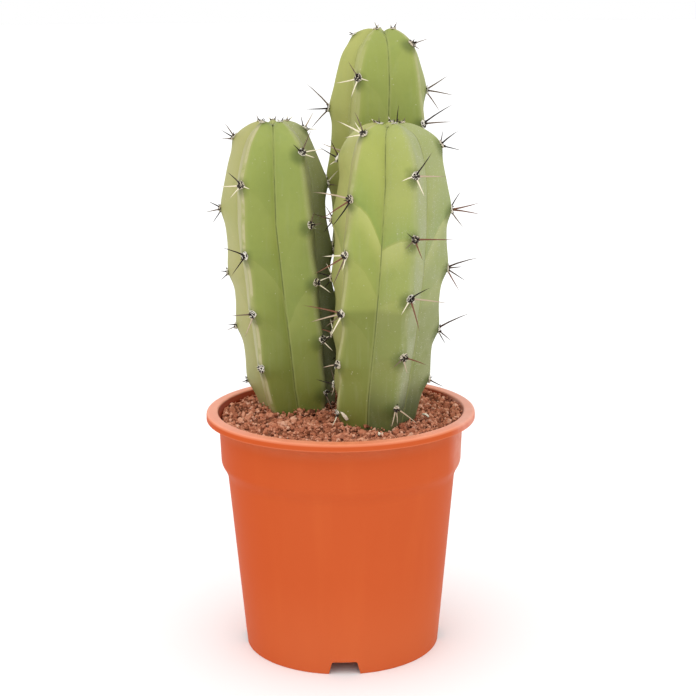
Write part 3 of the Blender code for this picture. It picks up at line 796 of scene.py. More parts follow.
def makeSkin(stem):
    segments = stem.ribs * 2 * ribSizes["halfRib"]
    rows = ribSizes["rows"]
    bpy.ops.mesh.primitive_uv_sphere_add(segments=segments, ring_count=rows, radius=1.0)
    obj = bpy.context.object
    obj.name = stem.name + "StemSkin"
    mesh = obj.data
    unit = readPoints(mesh)
    polar = np.arccos(np.clip(unit[:, 2], -1.0, 1.0)) / math.pi  # 0 at the tip, 1 at the foot
    column = np.round(np.arctan2(unit[:, 1], unit[:, 0]) / math.tau * segments) % segments
    halves = column / ribSizes["halfRib"]
    side = np.floor(halves)
    within = halves - side
    within = within - ribSizes["crowding"] * np.sin(math.tau * within)  # more columns by crest and groove
    turn = (side + within) / 2.0
    fromTip = stem.length * polar ** ribSizes["rowSpread"]
    points = stem.skin(fromTip, turn)
    tip = polar < 0.5 / rows
    foot = polar > 1.0 - 0.5 / rows
    points[tip] = stem.skin(0.0, 0.0)
    points[foot] = np.append(stem.axis(stem.line[-1, 1])[:2], ground + stem.line[-1, 1])
    writePoints(mesh, points)
    paintSkin(stem, mesh, fromTip, turn)
    onlySelect(obj)
    bpy.ops.object.shade_smooth()
    return obj


markSizes = {
    "faceWidth": 0.62,
    "crestBlend": 0.16,
    "slope": 0.70,
    "curve": 30.0,
    "shadeFall": 1.3,
    "end": 0.035,
    "endCount": 0.7,
    # where the painted shade round each areole sits: its shift aside and down, and its stretch
    "haloAside": (0.0014, 1.15),
    "haloDown": (0.0022, 0.85),
}


def paintSkin(stem, mesh, fromTip, turn):  # what follows the growth: faces, halos of painted shade round the areoles, growth marks, creases
    whole = np.round(turn).astype(int)
    share = np.abs(turn - whole) * 2.0
    right = (turn >= whole).astype(int)
    rib = np.mod(whole, stem.ribs)
    radius, height = stem.crest(fromTip)
    faceWidth = radius * markSizes["faceWidth"]
    lateral = share * faceWidth
    across = ease(share / markSizes["crestBlend"])
    values = {}
    for name in ("yellow", "tan", "shade", "bloom"):
        faces = np.array(stem.form[name])
        mean = faces[rib].mean(1)
        values[name] = mean + (faces[rib, right] - mean) * across
    values["shade"] *= ease(markSizes["shadeFall"] * (1.0 - height / stem.form["shadeReach"]))
    values["ageing"] = np.interp(height, *zip(*stem.form["ageing"]))
    values["band"] = np.array(stem.form["band"])[rib]
    sags = np.ones((stem.ribs, 2))
    for place, sag in stem.form["sag"].items():
        sags[place] = sag
    slid = markSizes["slope"] * lateral + markSizes["curve"] * lateral**2
    flow = fromTip - sags[rib, right] * slid
    # the painted shade of each areole sits a little aside and below it
    (aside, wide), (down, tall) = markSizes["haloAside"], markSizes["haloDown"]
    sideways = (np.where(right == 1, lateral, -lateral) + aside) * wide
    nearest = np.full_like(fromTip, 1.0)
    phase = np.zeros_like(fromTip)
    for k, pads in enumerate(stem.areoles):
        marks = [pads[0] - markSizes["end"], *pads, pads[-1] + markSizes["end"]]
        counts = [1 - markSizes["endCount"], *range(1, len(pads) + 1), len(pads) + markSizes["endCount"]]
        phase = np.where(rib == k, np.interp(flow, marks, counts), phase)
        for pad in pads:
            away = np.hypot(sideways, (fromTip - pad - down) * tall)
            nearest = np.where(rib == k, np.minimum(nearest, away), nearest)
    values["growth"] = phase
    values["marking"] = np.interp(phase, range(len(stem.form["marks"])), stem.form["marks"])
    values["padDistance"] = nearest * 1000.0
    values["crestDistance"] = lateral * 1000.0
    values["grooveDistance"] = (1.0 - share) * faceWidth * 1000.0
    for name, value in values.items():
        writeAttribute(mesh, name, value)


skinNoises = {  # scale, detail and roughness
    "broad": (28.0, 3.0),
    "patch": (75.0, 4.0, 0.6),
    "fine": (620.0, 3.0, 0.65),
}
skinStreak = (380.0, 380.0, 24.0)
skinTones = {"green": (0.270, 0.325, 0.075), "yellow": (0.450, 0.480, 0.105)}
skinCoats = {  # how strong each coat over the green is, and its colour; several are painted light or painted shade, as marked below
    "old": (1.00, (0.165, 0.190, 0.032)),
    "young": (0.70, (0.220, 0.310, 0.055)),
    "pale": (0.50, (0.540, 0.560, 0.190)),
    # partly painted sheen: tan on faces turned to the lamps or seen edge-on at the outline, partly the
    # skin's own tan
    "tan": (0.85, (0.420, 0.360, 0.185)),
    # partly painted light: pale grey on faces seen edge-on and on a face turned from the lamps, partly a
    # real waxy bloom
    "bloom": (0.85, (0.370, 0.390, 0.225)),
    "shade": (1.00, (0.040, 0.068, 0.024)),
    "streak": (1.00, (0.360, 0.380, 0.220)),
    "dull": (0.18, (0.150, 0.210, 0.045)),
    # partly painted highlight: a pale band along the crests, strongest on those facing the lamps, partly
    # the crests' own corky tone
    "band": (1.00, (0.480, 0.440, 0.240)),
    # painted shade: a dark green halo beside and below each areole, where its swelling shades the skin
    "halo": (0.66, (0.075, 0.105, 0.022)),
    "groove": (0.22, (0.440, 0.460, 0.180)),
    # painted shade: a dark line in the crease of each groove, deepening the shade there
    "crease": (0.70, (0.060, 0.085, 0.022)),
    "speck": (0.55, (0.560, 0.560, 0.370)),
    "dust": (0.80, (0.660, 0.660, 0.560)),
}
skinEdges = {  # where each change lies and how soft it is: distances in millimetres, the rest as shares
    "young": (0.55, 0.40),
    "youngEnd": (0.965, 0.03),
    "pale": (0.28, 0.27),
    "streak": (0.62, 0.12),
    "dull": (0.38, 0.10),
    "band": (1.0, 0.25),
    "bandPatch": (0.44, 0.08),
    "halo": (4.4, 3.0),
    "groove": (1.5, 0.5),
    "crease": (0.34, 0.22),
    "creasePatch": (0.44, 0.14),
    "speck": (0.15, 0.05),
    "speckFine": (0.56, 0.06),
    "speckPatch": (0.50, 0.10),
    "dust": (0.20, 0.06),
    "dustStreak": (0.50, 0.08),
}


def stemSkin():
    finish = Finish("waxyGreenSkin", Specular_IOR_Level=0.28)
    edges = skinEdges
    names = ("yellow", "tan", "shade", "bloom", "ageing", "band", "growth", "marking")
    yellow, tan, shade, bloom, ageing, band, growth, marking = (finish.attribute(name) for name in names)
    pad, crest, groove = (finish.attribute(name + "Distance") for name in ("pad", "crest", "groove"))
    broad, patch, fine = (finish.speckle(*skinNoises[name]) for name in ("broad", "patch", "fine"))
    streak = finish.speckle(1.0, 4.0, 0.6, finish.stretched(skinStreak))
    shift = patch - 0.5
    lit = 1.0 - 0.7 * shade
    part = (growth + 0.12 * shift).fraction()
    streaked = streak.above(*edges["streak"]) * (0.10 + 0.25 * bloom)
    banded = (band * patch.above(*edges["bandPatch"]) + 0.25 * (streak - 0.5)).clear()
    # painted shade round the areoles
    halo = (pad + 5.0 * shift).below(*edges["halo"])
    speck = finish.cells(330.0).below(*edges["speck"]) * fine.above(*edges["speckFine"])
    dust = finish.cells(900.0).below(*edges["dust"]) * streak.above(*edges["dustStreak"]) * bloom * lit
    tone = finish.layers(
        finish.blend((yellow + 0.6 * (broad - 0.5)).clear(), skinTones["green"], skinTones["yellow"]),
        skinCoats,
        old=(ageing + 0.35 * shift).clear() * (0.92 - 0.55 * tan),
        young=part.above(*edges["young"]) * part.below(*edges["youngEnd"]) * marking,
        pale=part.below(*edges["pale"]) * marking,
        # tan, partly painted sheen
        tan=(tan * (0.75 + 0.6 * (broad - 0.5))).clear(),
        # waxy bloom, partly painted light
        bloom=(bloom * (0.55 + 1.1 * (patch - 0.35))).clear(),
        shade=(shade * (0.85 + 0.5 * shift)).clear(),
        streak=streaked * lit,
        dull=patch.below(*edges["dull"]),
        # pale crest band, partly a painted highlight
        band=crest.below(*edges["band"]) * banded,
        halo=halo,
        groove=groove.below(*edges["groove"]),
        # painted shade in the groove's crease
        crease=groove.below(*edges["crease"]) * patch.above(*edges["creasePatch"]),
        speck=speck * patch.above(*edges["speckPatch"]),
        dust=dust,
    )
    finish.paint(Base_Color=tone, Roughness=0.47 + 0.16 * shift + 0.10 * halo + 0.12 * bloom)
    finish.bump(fine * 0.22 + patch * 0.9 + streak * 0.40 + dust * 0.2, 0.00022, 0.55)
    return finish


stems = {name: Stem(name) for name in stemForms}
skinFinish = stemSkin()
for name, stem in stems.items():
    hand(makeSkin(stem), skinFinish, "stem", "stem_" + name)


# areoles and spines

padSizes = {
    "radius": 0.0027,
    "height": 0.0013,
    "sides": 12,
    "foot": 0.86,
    "rings": ((0.55, 1.16), (0.40, 0.86), (-0.06, 0.62), (-0.22, 0.55)),
    "waves": ((3, 0.12), (5, 0.07), (4, 0.25)),
    "sunk": 0.45,
    "lift": 9.0,
    "tone": (0.2, 0.9),
    "strands": 8,
    "strandTone": (0.5, 1.0),
    "strandLength": (0.0012, 0.0026),
    "strandThick": (0.00013, 0.00020),
    "strandPlace": (0.45, 1.0),
    "strandHeight": 0.35,
    "strandSwing": (-1.6, 1.6),
    "strandLean": 1.3,
    "strandRise": (0.2, 0.9),
    "stubs": 3,
    "stubLength": (0.0020, 0.0030),
    "stubTilt": (20, 60),
    "crownFromTip": 0.0085,
    "crownScale": 0.72,
    "footScale": 0.70,
    "footReach": 0.018,
}
spineSizes = {
    "radius": 0.00050,
    "thinShare": 0.48,
    "growShare": 0.52,
    "fullLength": 0.015,
    "mostGrowth": 1.20,
    "sides": 6,
    "rootSpread": 0.0016,
    "bulb": 0.00085,
    "bulbLeast": 0.10,
    "bulbLength": 0.0085,
    "bulbHeight": 0.0019,
    "bulbMost": 0.6,
    "bulbShare": 0.20,
    "profile": ((0.0, 0.85), (0.09, 1.0), (0.15, 0.80), (0.20, 1.0), (0.42, 0.80), (0.75, 0.48)),
    "bow": ((-0.025, 0.025), (-0.025, 0.035)),
    "sunk": 0.0006,
    "least": 0.0015,
    "shorter": 0.94,
    "clear": 0.9,
    "central": (0.012, 0.019),
    "centralHour": (-2, 2),
    "centralTilt": (0, 16),
    "spread": (0.008, 0.014),
    "spreadTilt": (48, 66),
    "spreadShift": (-0.5, 0.5),
    "young": (0.0022, 0.0046),
    "count": (2, 3),
}
spineTones = {"black": 0.05, "brown": 0.25, "red": 0.45, "grey": 0.62, "pink": 0.80, "cream": 0.97}
toneDraws = {
    "young": ("black", "grey", "cream"),
    "central": ("black", "brown", "red", "pink"),
    "spread": ("black", "brown", "grey", "cream", "cream"),
}

# the spines that the photograph shows best, by rib and areole: the hour that each points to
# on a clock face over the areole, its tilt from straight out in degrees, length in mm and tone
spinePlan = {
    "front": {
        (0, 0): ((9, 60, 18, "cream"), (10, 50, 10, "cream"), (10.5, 50, 15, "grey"),
                 (6.5, 65, 13, "cream")),
        (0, 1): ((9, 60, 22, "pink"), (6.5, 40, 23, "red"), (6, 55, 22, "black")),
        (0, 2): ((8.5, 55, 13, "cream"), (7, 40, 22, "red"), (5, 55, 11, "cream"), (5.5, 55, 22, "grey")),
        (0, 3): ((9, 60, 24, "red"), (8, 60, 20, "pink"), (7, 55, 12, "grey"), (5.5, 50, 17, "cream")),
        (0, 4): ((8, 55, 9, "pink"),),
        (0, 5): ((5.5, 50, 9, "cream"),),
        (1, 0): ((1, 45, 17, "black"), (3.5, 45, 18, "pink"), (8.5, 75, 11, "cream"), (6, 60, 15, "cream")),
        (1, 1): ((3, 40, 24, "red"), (10, 65, 8, "black"), (8, 65, 10, "grey"), (6, 50, 14, "red")),
        (1, 2): ((1.5, 50, 13, "black"), (3, 40, 23, "pink"), (7.5, 65, 12, "cream"), (6, 50, 21, "red")),
        (1, 3): ((3.5, 50, 14, "red"), (8, 65, 10, "grey"), (6, 50, 10, "pink")),
        (1, 4): ((7, 55, 13, "pink"), (6.3, 50, 10, "pink"), (4.2, 55, 16, "pink")),
        (2, 0): ((1.5, 50, 9, "black"), (9.5, 40, 16, "black"), (7.5, 55, 13, "black")),
        (2, 1): ((1, 50, 13, "black"), (9.5, 40, 20, "red"), (8.5, 40, 23, "red"), (5.5, 60, 14, "grey")),
        (2, 2): ((10, 45, 23, "brown"), (9.5, 45, 11, "brown"), (8, 50, 15, "brown"), (5.5, 60, 17, "red")),
        (2, 3): ((10.5, 45, 24, "brown"), (8, 55, 12, "brown"), (5.5, 60, 11, "black")),
        (2, 4): ((8.5, 45, 12, "brown"),),
    },
    "left": {
        (0, 1): ((10.5, 50, 11, "black"), (8.5, 50, 13, "cream"), (6.5, 55, 11, "cream"),
                 (3.5, 75, 8, "cream")),
        (0, 2): ((10, 50, 14, "black"), (6.5, 45, 15, "black")),
        (0, 3): ((9, 50, 13, "grey"), (6, 50, 16, "pink")),
        (0, 4): (),
        (1, 0): ((1, 55, 14, "grey"), (3.5, 50, 13, "cream"), (5, 50, 9, "cream"), (10, 65, 8, "black")),
        (1, 1): ((3, 50, 7, "grey"), (12, 50, 9, "grey")),
        (1, 2): ((2.5, 50, 10, "cream"), (5, 50, 11, "cream")),
        (1, 3): ((2.5, 50, 10, "cream"), (5.5, 50, 10, "cream")),
        (1, 4): ((6.5, 50, 13, "grey"), (3, 50, 8, "grey")),
        (2, 1): ((10.5, 55, 14, "cream"), (8.5, 50, 11, "grey")),
        (4, 0): ((2, 45, 12, "grey"), (3, 45, 11, "black"), (4.5, 55, 8, "grey")),
        (4, 1): ((2, 50, 10, "black"), (3.5, 50, 11, "grey"), (6.5, 60, 12, "black")),
        (4, 2): ((2.5, 50, 6, "black"), (4.5, 55, 7, "black")),
        (4, 3): ((2.5, 55, 7, "black"), (3.5, 55, 8, "grey")),
        (4, 4): ((3, 55, 5, "black"),),
    },
    "back": {
        (0, 1): ((1.5, 45, 24, "grey"), (3.5, 40, 18, "black"), (6.5, 60, 18, "grey")),
        (1, 0): ((11, 50, 11, "grey"), (8, 50, 15, "cream"), (6, 65, 15, "cream"), (3.5, 70, 9, "cream")),
        (1, 1): ((9.5, 45, 22, "pink"), (7.5, 50, 11, "cream")),
        (2, 0): ((3.5, 55, 10, "grey"), (6.5, 70, 7, "grey")),
        (2, 1): ((2, 65, 23, "black"), (3, 60, 19, "grey")),
        (3, 0): ((10, 60, 18, "grey"), (8.5, 60, 20, "grey"), (6, 60, 17, "grey")),
    },
}


def padFrames(stem):
    crown = padSizes["crownFromTip"]
    for rib, distances in enumerate(stem.areoles):
        places = [(number, fromTip, fromTip < 2 * crown) for number, fromTip in enumerate(distances)]
        if not places[0][2]:
            places.insert(0, (None, crown, True))
        for number, fromTip, young in places:
            here, out, up = stem.frameAt(rib, fromTip)
            out = (out + up * math.tan(math.radians(padSizes["lift"]))).normalized()
            up = (up - out * up.dot(out)).normalized()
            yield (rib, number), here, out, up, young


class Bunch:  # gathers many small copies into one mesh
    def __init__(self):
        self.points = []
        self.faces = []
        self.values = {}
        self.count = 0

    def add(self, points, faces, **values):
        self.points.append(points)
        self.faces.extend(tuple(corner + self.count for corner in face) for face in faces)
        for key, value in values.items():
            self.values.setdefault(key, []).append(np.broadcast_to(value, len(points)))
        self.count += len(points)

    def build(self, name, smooth=True):
        mesh = bpy.data.meshes.new(name)
        mesh.from_pydata(np.vstack(self.points).tolist(), [], self.faces)
        for key, value in self.values.items():
            writeAttribute(mesh, key, np.concatenate(value))
        obj = bpy.data.objects.new(name, mesh)
        bpy.context.scene.collection.objects.link(obj)
        onlySelect(obj)
        if smooth:
            bpy.ops.object.shade_smooth()
        return obj


def takeShape(obj):  # the points and faces of a modelled shape, which is then removed
    points = readPoints(obj.data)
    faces = [tuple(face.vertices) for face in obj.data.polygons]
    bpy.data.objects.remove(obj)
    return points, faces


def growUp(height, width):  # draws the selected face upward and then makes it wider or narrower
    bpy.ops.mesh.extrude_region_move(TRANSFORM_OT_translate={"value": (0.0, 0.0, height)})
    bpy.ops.transform.resize(value=(width, width, 1.0))


def makeSpine():  # a needle 1 high and about 1 in radius, whose lowest rings are its swollen root
    profile = spineSizes["profile"]
    bpy.ops.mesh.primitive_circle_add(vertices=spineSizes["sides"], radius=profile[0][1], fill_type="NGON")
    obj = bpy.context.object
    startEdit()
    for (low, before), (high, after) in zip(profile, profile[1:]):
        growUp(high - low, after / before)
    growUp(1.0 - profile[-1][0], 1.0)
    bpy.ops.mesh.merge(type="CENTER")
    endEdit()
    return takeShape(obj)


def makeCushion():  # a round pad with a sunk middle, 1 in radius and about 1 high
    bpy.ops.mesh.primitive_circle_add(vertices=padSizes["sides"], radius=padSizes["foot"], fill_type="NGON")
    obj = bpy.context.object
    startEdit()
    for height, width in padSizes["rings"]:
        growUp(height, width)
    endEdit()
    return takeShape(obj)


def makeStrand():  # a hair with three sides, 1 high
    bpy.ops.mesh.primitive_cone_add(vertices=3, radius1=1.0, depth=1.0, location=(0.0, 0.0, 0.5))
    obj = bpy.context.object
    settle(obj)
    return takeShape(obj)


def leaning(aim, up):  # rows: two directions square to the aim, and the aim
    side = up.cross(aim)
    if side.length < 0.01:
        side = aim.orthogonal()
    side.normalize()
    return np.array([side, aim.cross(side), aim])


def blocked(point, own):  # whether a spine's tip would leave the CAD box or pierce another stem
    if any(not low <= part <= high for low, part, high in zip(cadBox[0], point, cadBox[1])):
        return True
    height = point.z - ground
    for stem in stems.values():
        if stem is not own and height < stem.top:
            middle = stem.axis(np.array(height))
            radius = np.interp(height, stem.line[::-1, 1], stem.line[::-1, 0])
            if math.hypot(point.x - middle[0], point.y - middle[1]) < spineSizes["clear"] * radius:
                return True
    return False


def addSpine(bunch, stem, seat, out, up, hour, tilt, length, tone, draw):
    turn = math.radians(30.0 * (12.0 - hour))
    tilt = math.radians(tilt)
    spoke = up * math.cos(turn) + out.cross(up) * math.sin(turn)
    aim = out * math.cos(tilt) + spoke * math.sin(tilt)
    s = spineSizes
    while blocked(seat + aim * length, stem) and length > s["least"]:
        length *= s["shorter"]
    points, faces = spineShape
    growth = s["growShare"] * min(length / s["fullLength"], s["mostGrowth"])
    radius = s["radius"] * (s["thinShare"] + growth)
    share = points[:, 2]
    bulb = s["bulb"] * min(1.0, s["bulbLeast"] + length / s["bulbLength"])
    across = np.where(share < s["bulbShare"] - 0.01, bulb, radius)
    heights = (-s["sunk"], min(s["bulbHeight"], s["bulbMost"] * length), length)
    bow = np.sin(math.pi * share) * length
    local = np.stack([
        points[:, 0] * across + bow * draw.uniform(*s["bow"][0]),
        points[:, 1] * across + bow * draw.uniform(*s["bow"][1]),
        np.interp(share, (0.0, s["bulbShare"], 1.0), heights),
    ], 1)
    root = seat + spoke * math.sin(tilt) * s["rootSpread"]
    placed = local @ leaning(aim, up) + np.array(root)
    bunch.add(placed, faces, alongSpine=share, spineTone=spineTones[tone])


def addPad(bunch, seat, out, up, scale, draw):
    p = padSizes
    axes = leaning(out, up)
    cushion, faces = cushionShape
    angle = np.arctan2(cushion[:, 1], cushion[:, 0])
    ring = np.hypot(cushion[:, 0], cushion[:, 1])
    waves = [depth * np.sin(times * angle + draw.uniform(0, 6)) for times, depth in p["waves"]]
    local = cushion * p["radius"] * (1.0 + waves[0] + waves[1])[:, None]
    local[:, 2] = (cushion[:, 2] * (1.0 + waves[2]) - p["sunk"]) * p["height"]
    placed = local * scale @ axes + np.array(seat)
    bunch.add(placed, faces, woolTone=draw.uniform(*p["tone"]), woolRing=ring)
    hair, hairFaces = strandShape
    for _ in range(round(p["strands"] * scale)):
        turn = draw.uniform(0, math.tau)
        reach = draw.uniform(*p["strandPlace"]) * p["radius"] * scale
        spot = np.array([math.cos(turn) * reach, math.sin(turn) * reach, p["height"] * p["strandHeight"]])
        heading = turn + draw.uniform(*p["strandSwing"])
        aside = Vector((math.cos(heading), math.sin(heading), 0.0)) * p["strandLean"]
        lean = (aside + Vector((0.0, 0.0, draw.uniform(*p["strandRise"])))).normalized()
        thick = draw.uniform(*p["strandThick"])
        strand = hair * np.array([thick, thick, draw.uniform(*p["strandLength"]) * scale])
        strand = strand @ leaning(lean, Vector((0.0, 0.0, 1.0))) + spot
        placed = strand @ axes + np.array(seat)
        bunch.add(placed, hairFaces, woolTone=draw.uniform(*p["strandTone"]), woolRing=1.0)


def spinesAt(plan, key, young, draw):  # hour, tilt, length in metres and tone of an areole's spines
    for _ in range(padSizes["stubs"] - young):
        length = draw.uniform(*(spineSizes["young"] if young else padSizes["stubLength"]))
        tone = draw.choice(toneDraws["young"]) if young else "black"
        yield draw.uniform(0, 12), draw.uniform(*padSizes["stubTilt"]), length, tone
    if young:
        return
    if key in plan:
        for hour, tilt, length, tone in plan[key]:
            yield hour, tilt, length / 1000, tone
        return
    s = spineSizes
    tone = draw.choice(toneDraws["central"])
    hour, tilt = draw.uniform(*s["centralHour"]), draw.uniform(*s["centralTilt"])
    yield hour, tilt, draw.uniform(*s["central"]), tone
    count = draw.randint(*s["count"])
    first = draw.uniform(-1, 1)
    for index in range(count):
        tone = draw.choice(toneDraws["spread"])
        hour = first + 12 * index / count + draw.uniform(*s["spreadShift"])
        yield hour, draw.uniform(*s["spreadTilt"]), draw.uniform(*s["spread"]), tone


def dressStem(stem):
    draw = random.Random(stem.name + " spines")
    pads, spines = Bunch(), Bunch()
    for key, seat, out, up, young in padFrames(stem):
        atFoot = seat.z < ground + padSizes["footReach"]
        scale = padSizes["crownScale"] if young else padSizes["footScale"] if atFoot else 1.0
        addPad(pads, seat, out, up, scale, draw)
        for spine in spinesAt(spinePlan[stem.name], key, young, draw):
            addSpine(spines, stem, seat, out, up, *spine, draw)
    return pads.build(stem.name + "StemAreoles"), spines.build(stem.name + "StemSpines")


woolRamp = ((0.0, (0.56, 0.46, 0.30)), (0.6, (0.80, 0.74, 0.60)), (1.0, (0.90, 0.88, 0.80)))
# the hole coat is painted shade: near-black in the wool's hollows between its tufts
woolCoats = {"strand": (0.35, (0.42, 0.26, 0.17)), "hole": (0.97, (0.014, 0.009, 0.007))}
hornRamp = (
    (0.0, (0.010, 0.009, 0.008)),
    (0.25, (0.060, 0.028, 0.016)),
    (0.45, (0.190, 0.075, 0.045)),
    (0.65, (0.160, 0.120, 0.085)),
    (0.85, (0.620, 0.480, 0.340)),
    (1.0, (0.920, 0.850, 0.640)),
)
hornCoats = {
    # painted shade: the spine's sunk root near-black, standing for the shaded pit it grows from
    "root": (0.97, (0.010, 0.007, 0.006)),
    "tip": (0.45, (0.130, 0.070, 0.045)),
    "ring": (0.14, (0.420, 0.330, 0.220)),
}


def areoleWool():
    finish = Finish("creamWool", Roughness=0.95, Specular_IOR_Level=0.2)
    ring = finish.attribute("woolRing")
    strands = finish.speckle(1700.0, 3.0, 0.6)
    # painted shade in the wool's hollows
    holes = finish.cells(520.0, "DISTANCE_TO_EDGE").above(0.11, 0.04) * ring.below(0.93, 0.06)
    tone = finish.ramp(finish.attribute("woolTone"), woolRamp)
    finish.paint(Base_Color=finish.layers(tone, woolCoats, strand=strands.below(0.42, 0.08), hole=holes))
    finish.bump(strands - holes * 0.8, 0.0003, 0.8)
    return finish


def spineHorn():
    finish = Finish("spineHorn", Specular_IOR_Level=0.15)
    along = finish.attribute("alongSpine")
    rings = finish.speckle(900.0, 2.0)
    tone = finish.layers(
        finish.ramp(finish.attribute("spineTone"), hornRamp),
        hornCoats,
        # painted shade at the spine's root
        root=along.below(0.175, 0.02),
        tip=along.above(0.82, 0.14),
        ring=rings.above(0.60, 0.08),
    )
    finish.paint(Base_Color=tone, Roughness=0.42 + 0.2 * rings)
    finish.bump(rings, 0.00008, 0.6)
    return finish


spineShape, cushionShape, strandShape = makeSpine(), makeCushion(), makeStrand()
woolFinish, hornFinish = areoleWool(), spineHorn()
for stem in stems.values():
    pads, spines = dressStem(stem)
    hand(pads, woolFinish, "stem")
    hand(spines, hornFinish, "stem")


# soil

soilSizes = {
    "edge": 0.1492,
    "mound": 0.0018,
    "tilt": 0.0010,
    "lump": 0.0016,
    "lumpsPerMetre": 130.0,
    "lumpSlice": 3.7,
    "smoothAtWall": 0.006,
    "wall": 0.0757,
    "radius": 0.0750,
    "bed": 0.0016,
    "bedMesh": (144, 96),
    "bedRings": (0.75, 0.85),
    "bedLump": 0.0006,
    "bedLumps": 420.0,
    "bedSlice": (7.4, 3.8, 10.6),
    "bedFade": 0.05,
    "bedGap": 0.0003,
    "wallHeap": 0.0030,
    "backHeap": 0.5,
    "heapReach": 0.010,
    "stemHeap": 0.0021,
    "stemHeapReach": 0.005,
    "stemRange": 0.05,
    "edgeReach": 0.0772,
    "grains": {"count": 3400, "size": (0.0005, 0.0012), "sink": (-1.2, 0.4)},
    "clods": {"count": 1050, "size": (0.0013, 0.0031), "sink": (-0.9, -0.1)},
    "sizeBias": 1.4,
    "squash": (0.65, 1.25),
    "tone": (0.52, 0.20),
    "toneRange": (0.05, 0.84),
    "paleShare": 0.002,
    "paleTone": 0.94,
    "gap": 0.0001,
    "leftGap": 0.0013,
    "wallRoom": 0.7,
    "stemRoom": 0.3,
    "stones": 9,
    "stoneRadius": 1.12,
    "cuts": 9,
    "cutDepth": (0.62, 0.88),
    "stoneSquash": ((0.75, 1.2), (0.75, 1.1), (0.6, 0.9)),
}
flakeSizes = {"thick": 0.0007, "bevel": 0.00018, "narrowing": 1.5, "arch": 0.0009, "rib": 0.25}

# pale flakes on the soil and in a crevice: place, length, width and turn, in metres and degrees
flakes = (
    {"at": (0.0020, -0.0370, 0.1595), "long": 0.0084, "wide": 0.0030, "turn": (75.0, -28.0, 19.0)},
    {"at": (0.0528, -0.0200, 0.1538), "long": 0.0046, "wide": 0.0036, "turn": (22.0, 5.0, 70.0)},
    {"at": (0.0226, -0.0604, 0.1534), "long": 0.0026, "wide": 0.0018, "turn": (30.0, 25.0, 10.0)},
)


def soilLevel(x, y):  # the surface of the soil's solid, with the same lumps
    s = soilSizes
    radius = math.hypot(x, y)
    share = min(radius / s["wall"], 1.0)
    level = s["edge"] + s["mound"] * (1.0 - share**2) + s["tilt"] * share * x / s["wall"]
    lump = noise.noise(Vector((x, y, 0.0)) * s["lumpsPerMetre"] + Vector((0.0, 0.0, s["lumpSlice"])))
    return level + s["lump"] * lump * float(ease((s["wall"] - radius) / s["smoothAtWall"]))


def grainLevel(x, y):  # the loose grains lie a little higher against the wall, and less so at the back
    s = soilSizes
    apart = max(s["wall"] - math.hypot(x, y), 0.0)
    heap = s["wallHeap"] * (1.0 - s["backHeap"] * max(0.0, y / s["wall"]))
    return soilLevel(x, y) + heap * float(ease(1.0 - apart / s["heapReach"]))


def stemFoot(stem):  # where a stem meets the soil: its middle, and its reach by bearing
    fromTip = np.interp(0.0, stem.line[::-1, 1], stem.along[::-1])
    ring = stem.skin(np.full(361, fromTip), np.linspace(0.0, stem.ribs, 361))
    middle = stem.axis(np.array(0.0))
    away = ring - middle
    bearing = np.arctan2(away[:, 1], away[:, 0])
    order = np.argsort(bearing)
    return middle, bearing[order], np.hypot(away[:, 0], away[:, 1])[order]


def fromStems(feet, x, y):  # how far a place on the soil lies outside the nearest stem
    nearest = 1.0
    for middle, bearing, reach in feet:
        away = math.hypot(x - middle[0], y - middle[1])
        if away < soilSizes["stemRange"]:
            edge = np.interp(math.atan2(y - middle[1], x - middle[0]), bearing, reach, period=math.tau)
            nearest = min(nearest, away - edge)
    return nearest


def makeBed():
    segments, rows = soilSizes["bedMesh"]
    bpy.ops.mesh.primitive_uv_sphere_add(segments=segments, ring_count=rows, radius=1.0)
    bed = bpy.context.object
    bed.name = "soilBed"
    unit = readPoints(bed.data)
    polar = np.arccos(np.clip(unit[:, 2], -1.0, 1.0)) / math.pi
    angle = np.arctan2(unit[:, 1], unit[:, 0])
    brink, corner = soilSizes["bedRings"]  # the rings above the brink lie on the surface
    top = np.clip(polar / brink, 0.0, 1.0)
    down = np.clip((polar - brink) / (corner - brink), 0.0, 1.0)
    inward = np.clip((polar - corner) / (1.0 - corner), 0.0, 1.0)
    wallFoot = potSizes["footRadius"] - potSizes["wall"]
    radius = soilSizes["radius"] * top
    radius = np.where(down > 0, soilSizes["radius"] + (wallFoot - soilSizes["radius"]) * down, radius)
    radius = np.where(inward > 0, wallFoot * (1.0 - inward), radius)
    x, y = radius * np.cos(angle), radius * np.sin(angle)
    level = np.array([grainLevel(*place) for place in zip(x, y)]) - soilSizes["bed"]
    scale, shift = soilSizes["bedLumps"], Vector(soilSizes["bedSlice"])
    lumps = np.array([noise.noise(Vector((*place, 0.0)) * scale + shift) for place in zip(x, y)])
    floor = potSizes["recess"] + potSizes["wall"] + soilSizes["bedGap"]
    z = level + soilSizes["bedLump"] * lumps * np.clip((1.0 - top) / soilSizes["bedFade"], 0.0, 1.0)
    z = np.where(down > 0, z + (floor - z) * down, z)
    z = np.where(inward > 0, floor, z)
    writePoints(bed.data, np.stack([x, y, z], 1))
    onlySelect(bed)
    bpy.ops.object.shade_smooth()
    return bed


def makeStone(draw):  # a ball cut flat on many sides, about 1 in radius
    bpy.ops.mesh.primitive_ico_sphere_add(subdivisions=1, radius=soilSizes["stoneRadius"])
    obj = bpy.context.object
    bpy.ops.object.mode_set(mode="EDIT")
    for _ in range(soilSizes["cuts"]):
        away = Vector([draw.gauss(0, 1) for _ in range(3)]).normalized()
        middle = away * draw.uniform(*soilSizes["cutDepth"])
        bpy.ops.mesh.select_all(action="SELECT")
        bpy.ops.mesh.bisect(plane_co=middle, plane_no=away, use_fill=True, clear_outer=True)
    bpy.ops.mesh.select_all(action="SELECT")
    bpy.ops.transform.resize(value=[draw.uniform(*limits) for limits in soilSizes["stoneSquash"]])
    endEdit()
    return takeShape(obj)


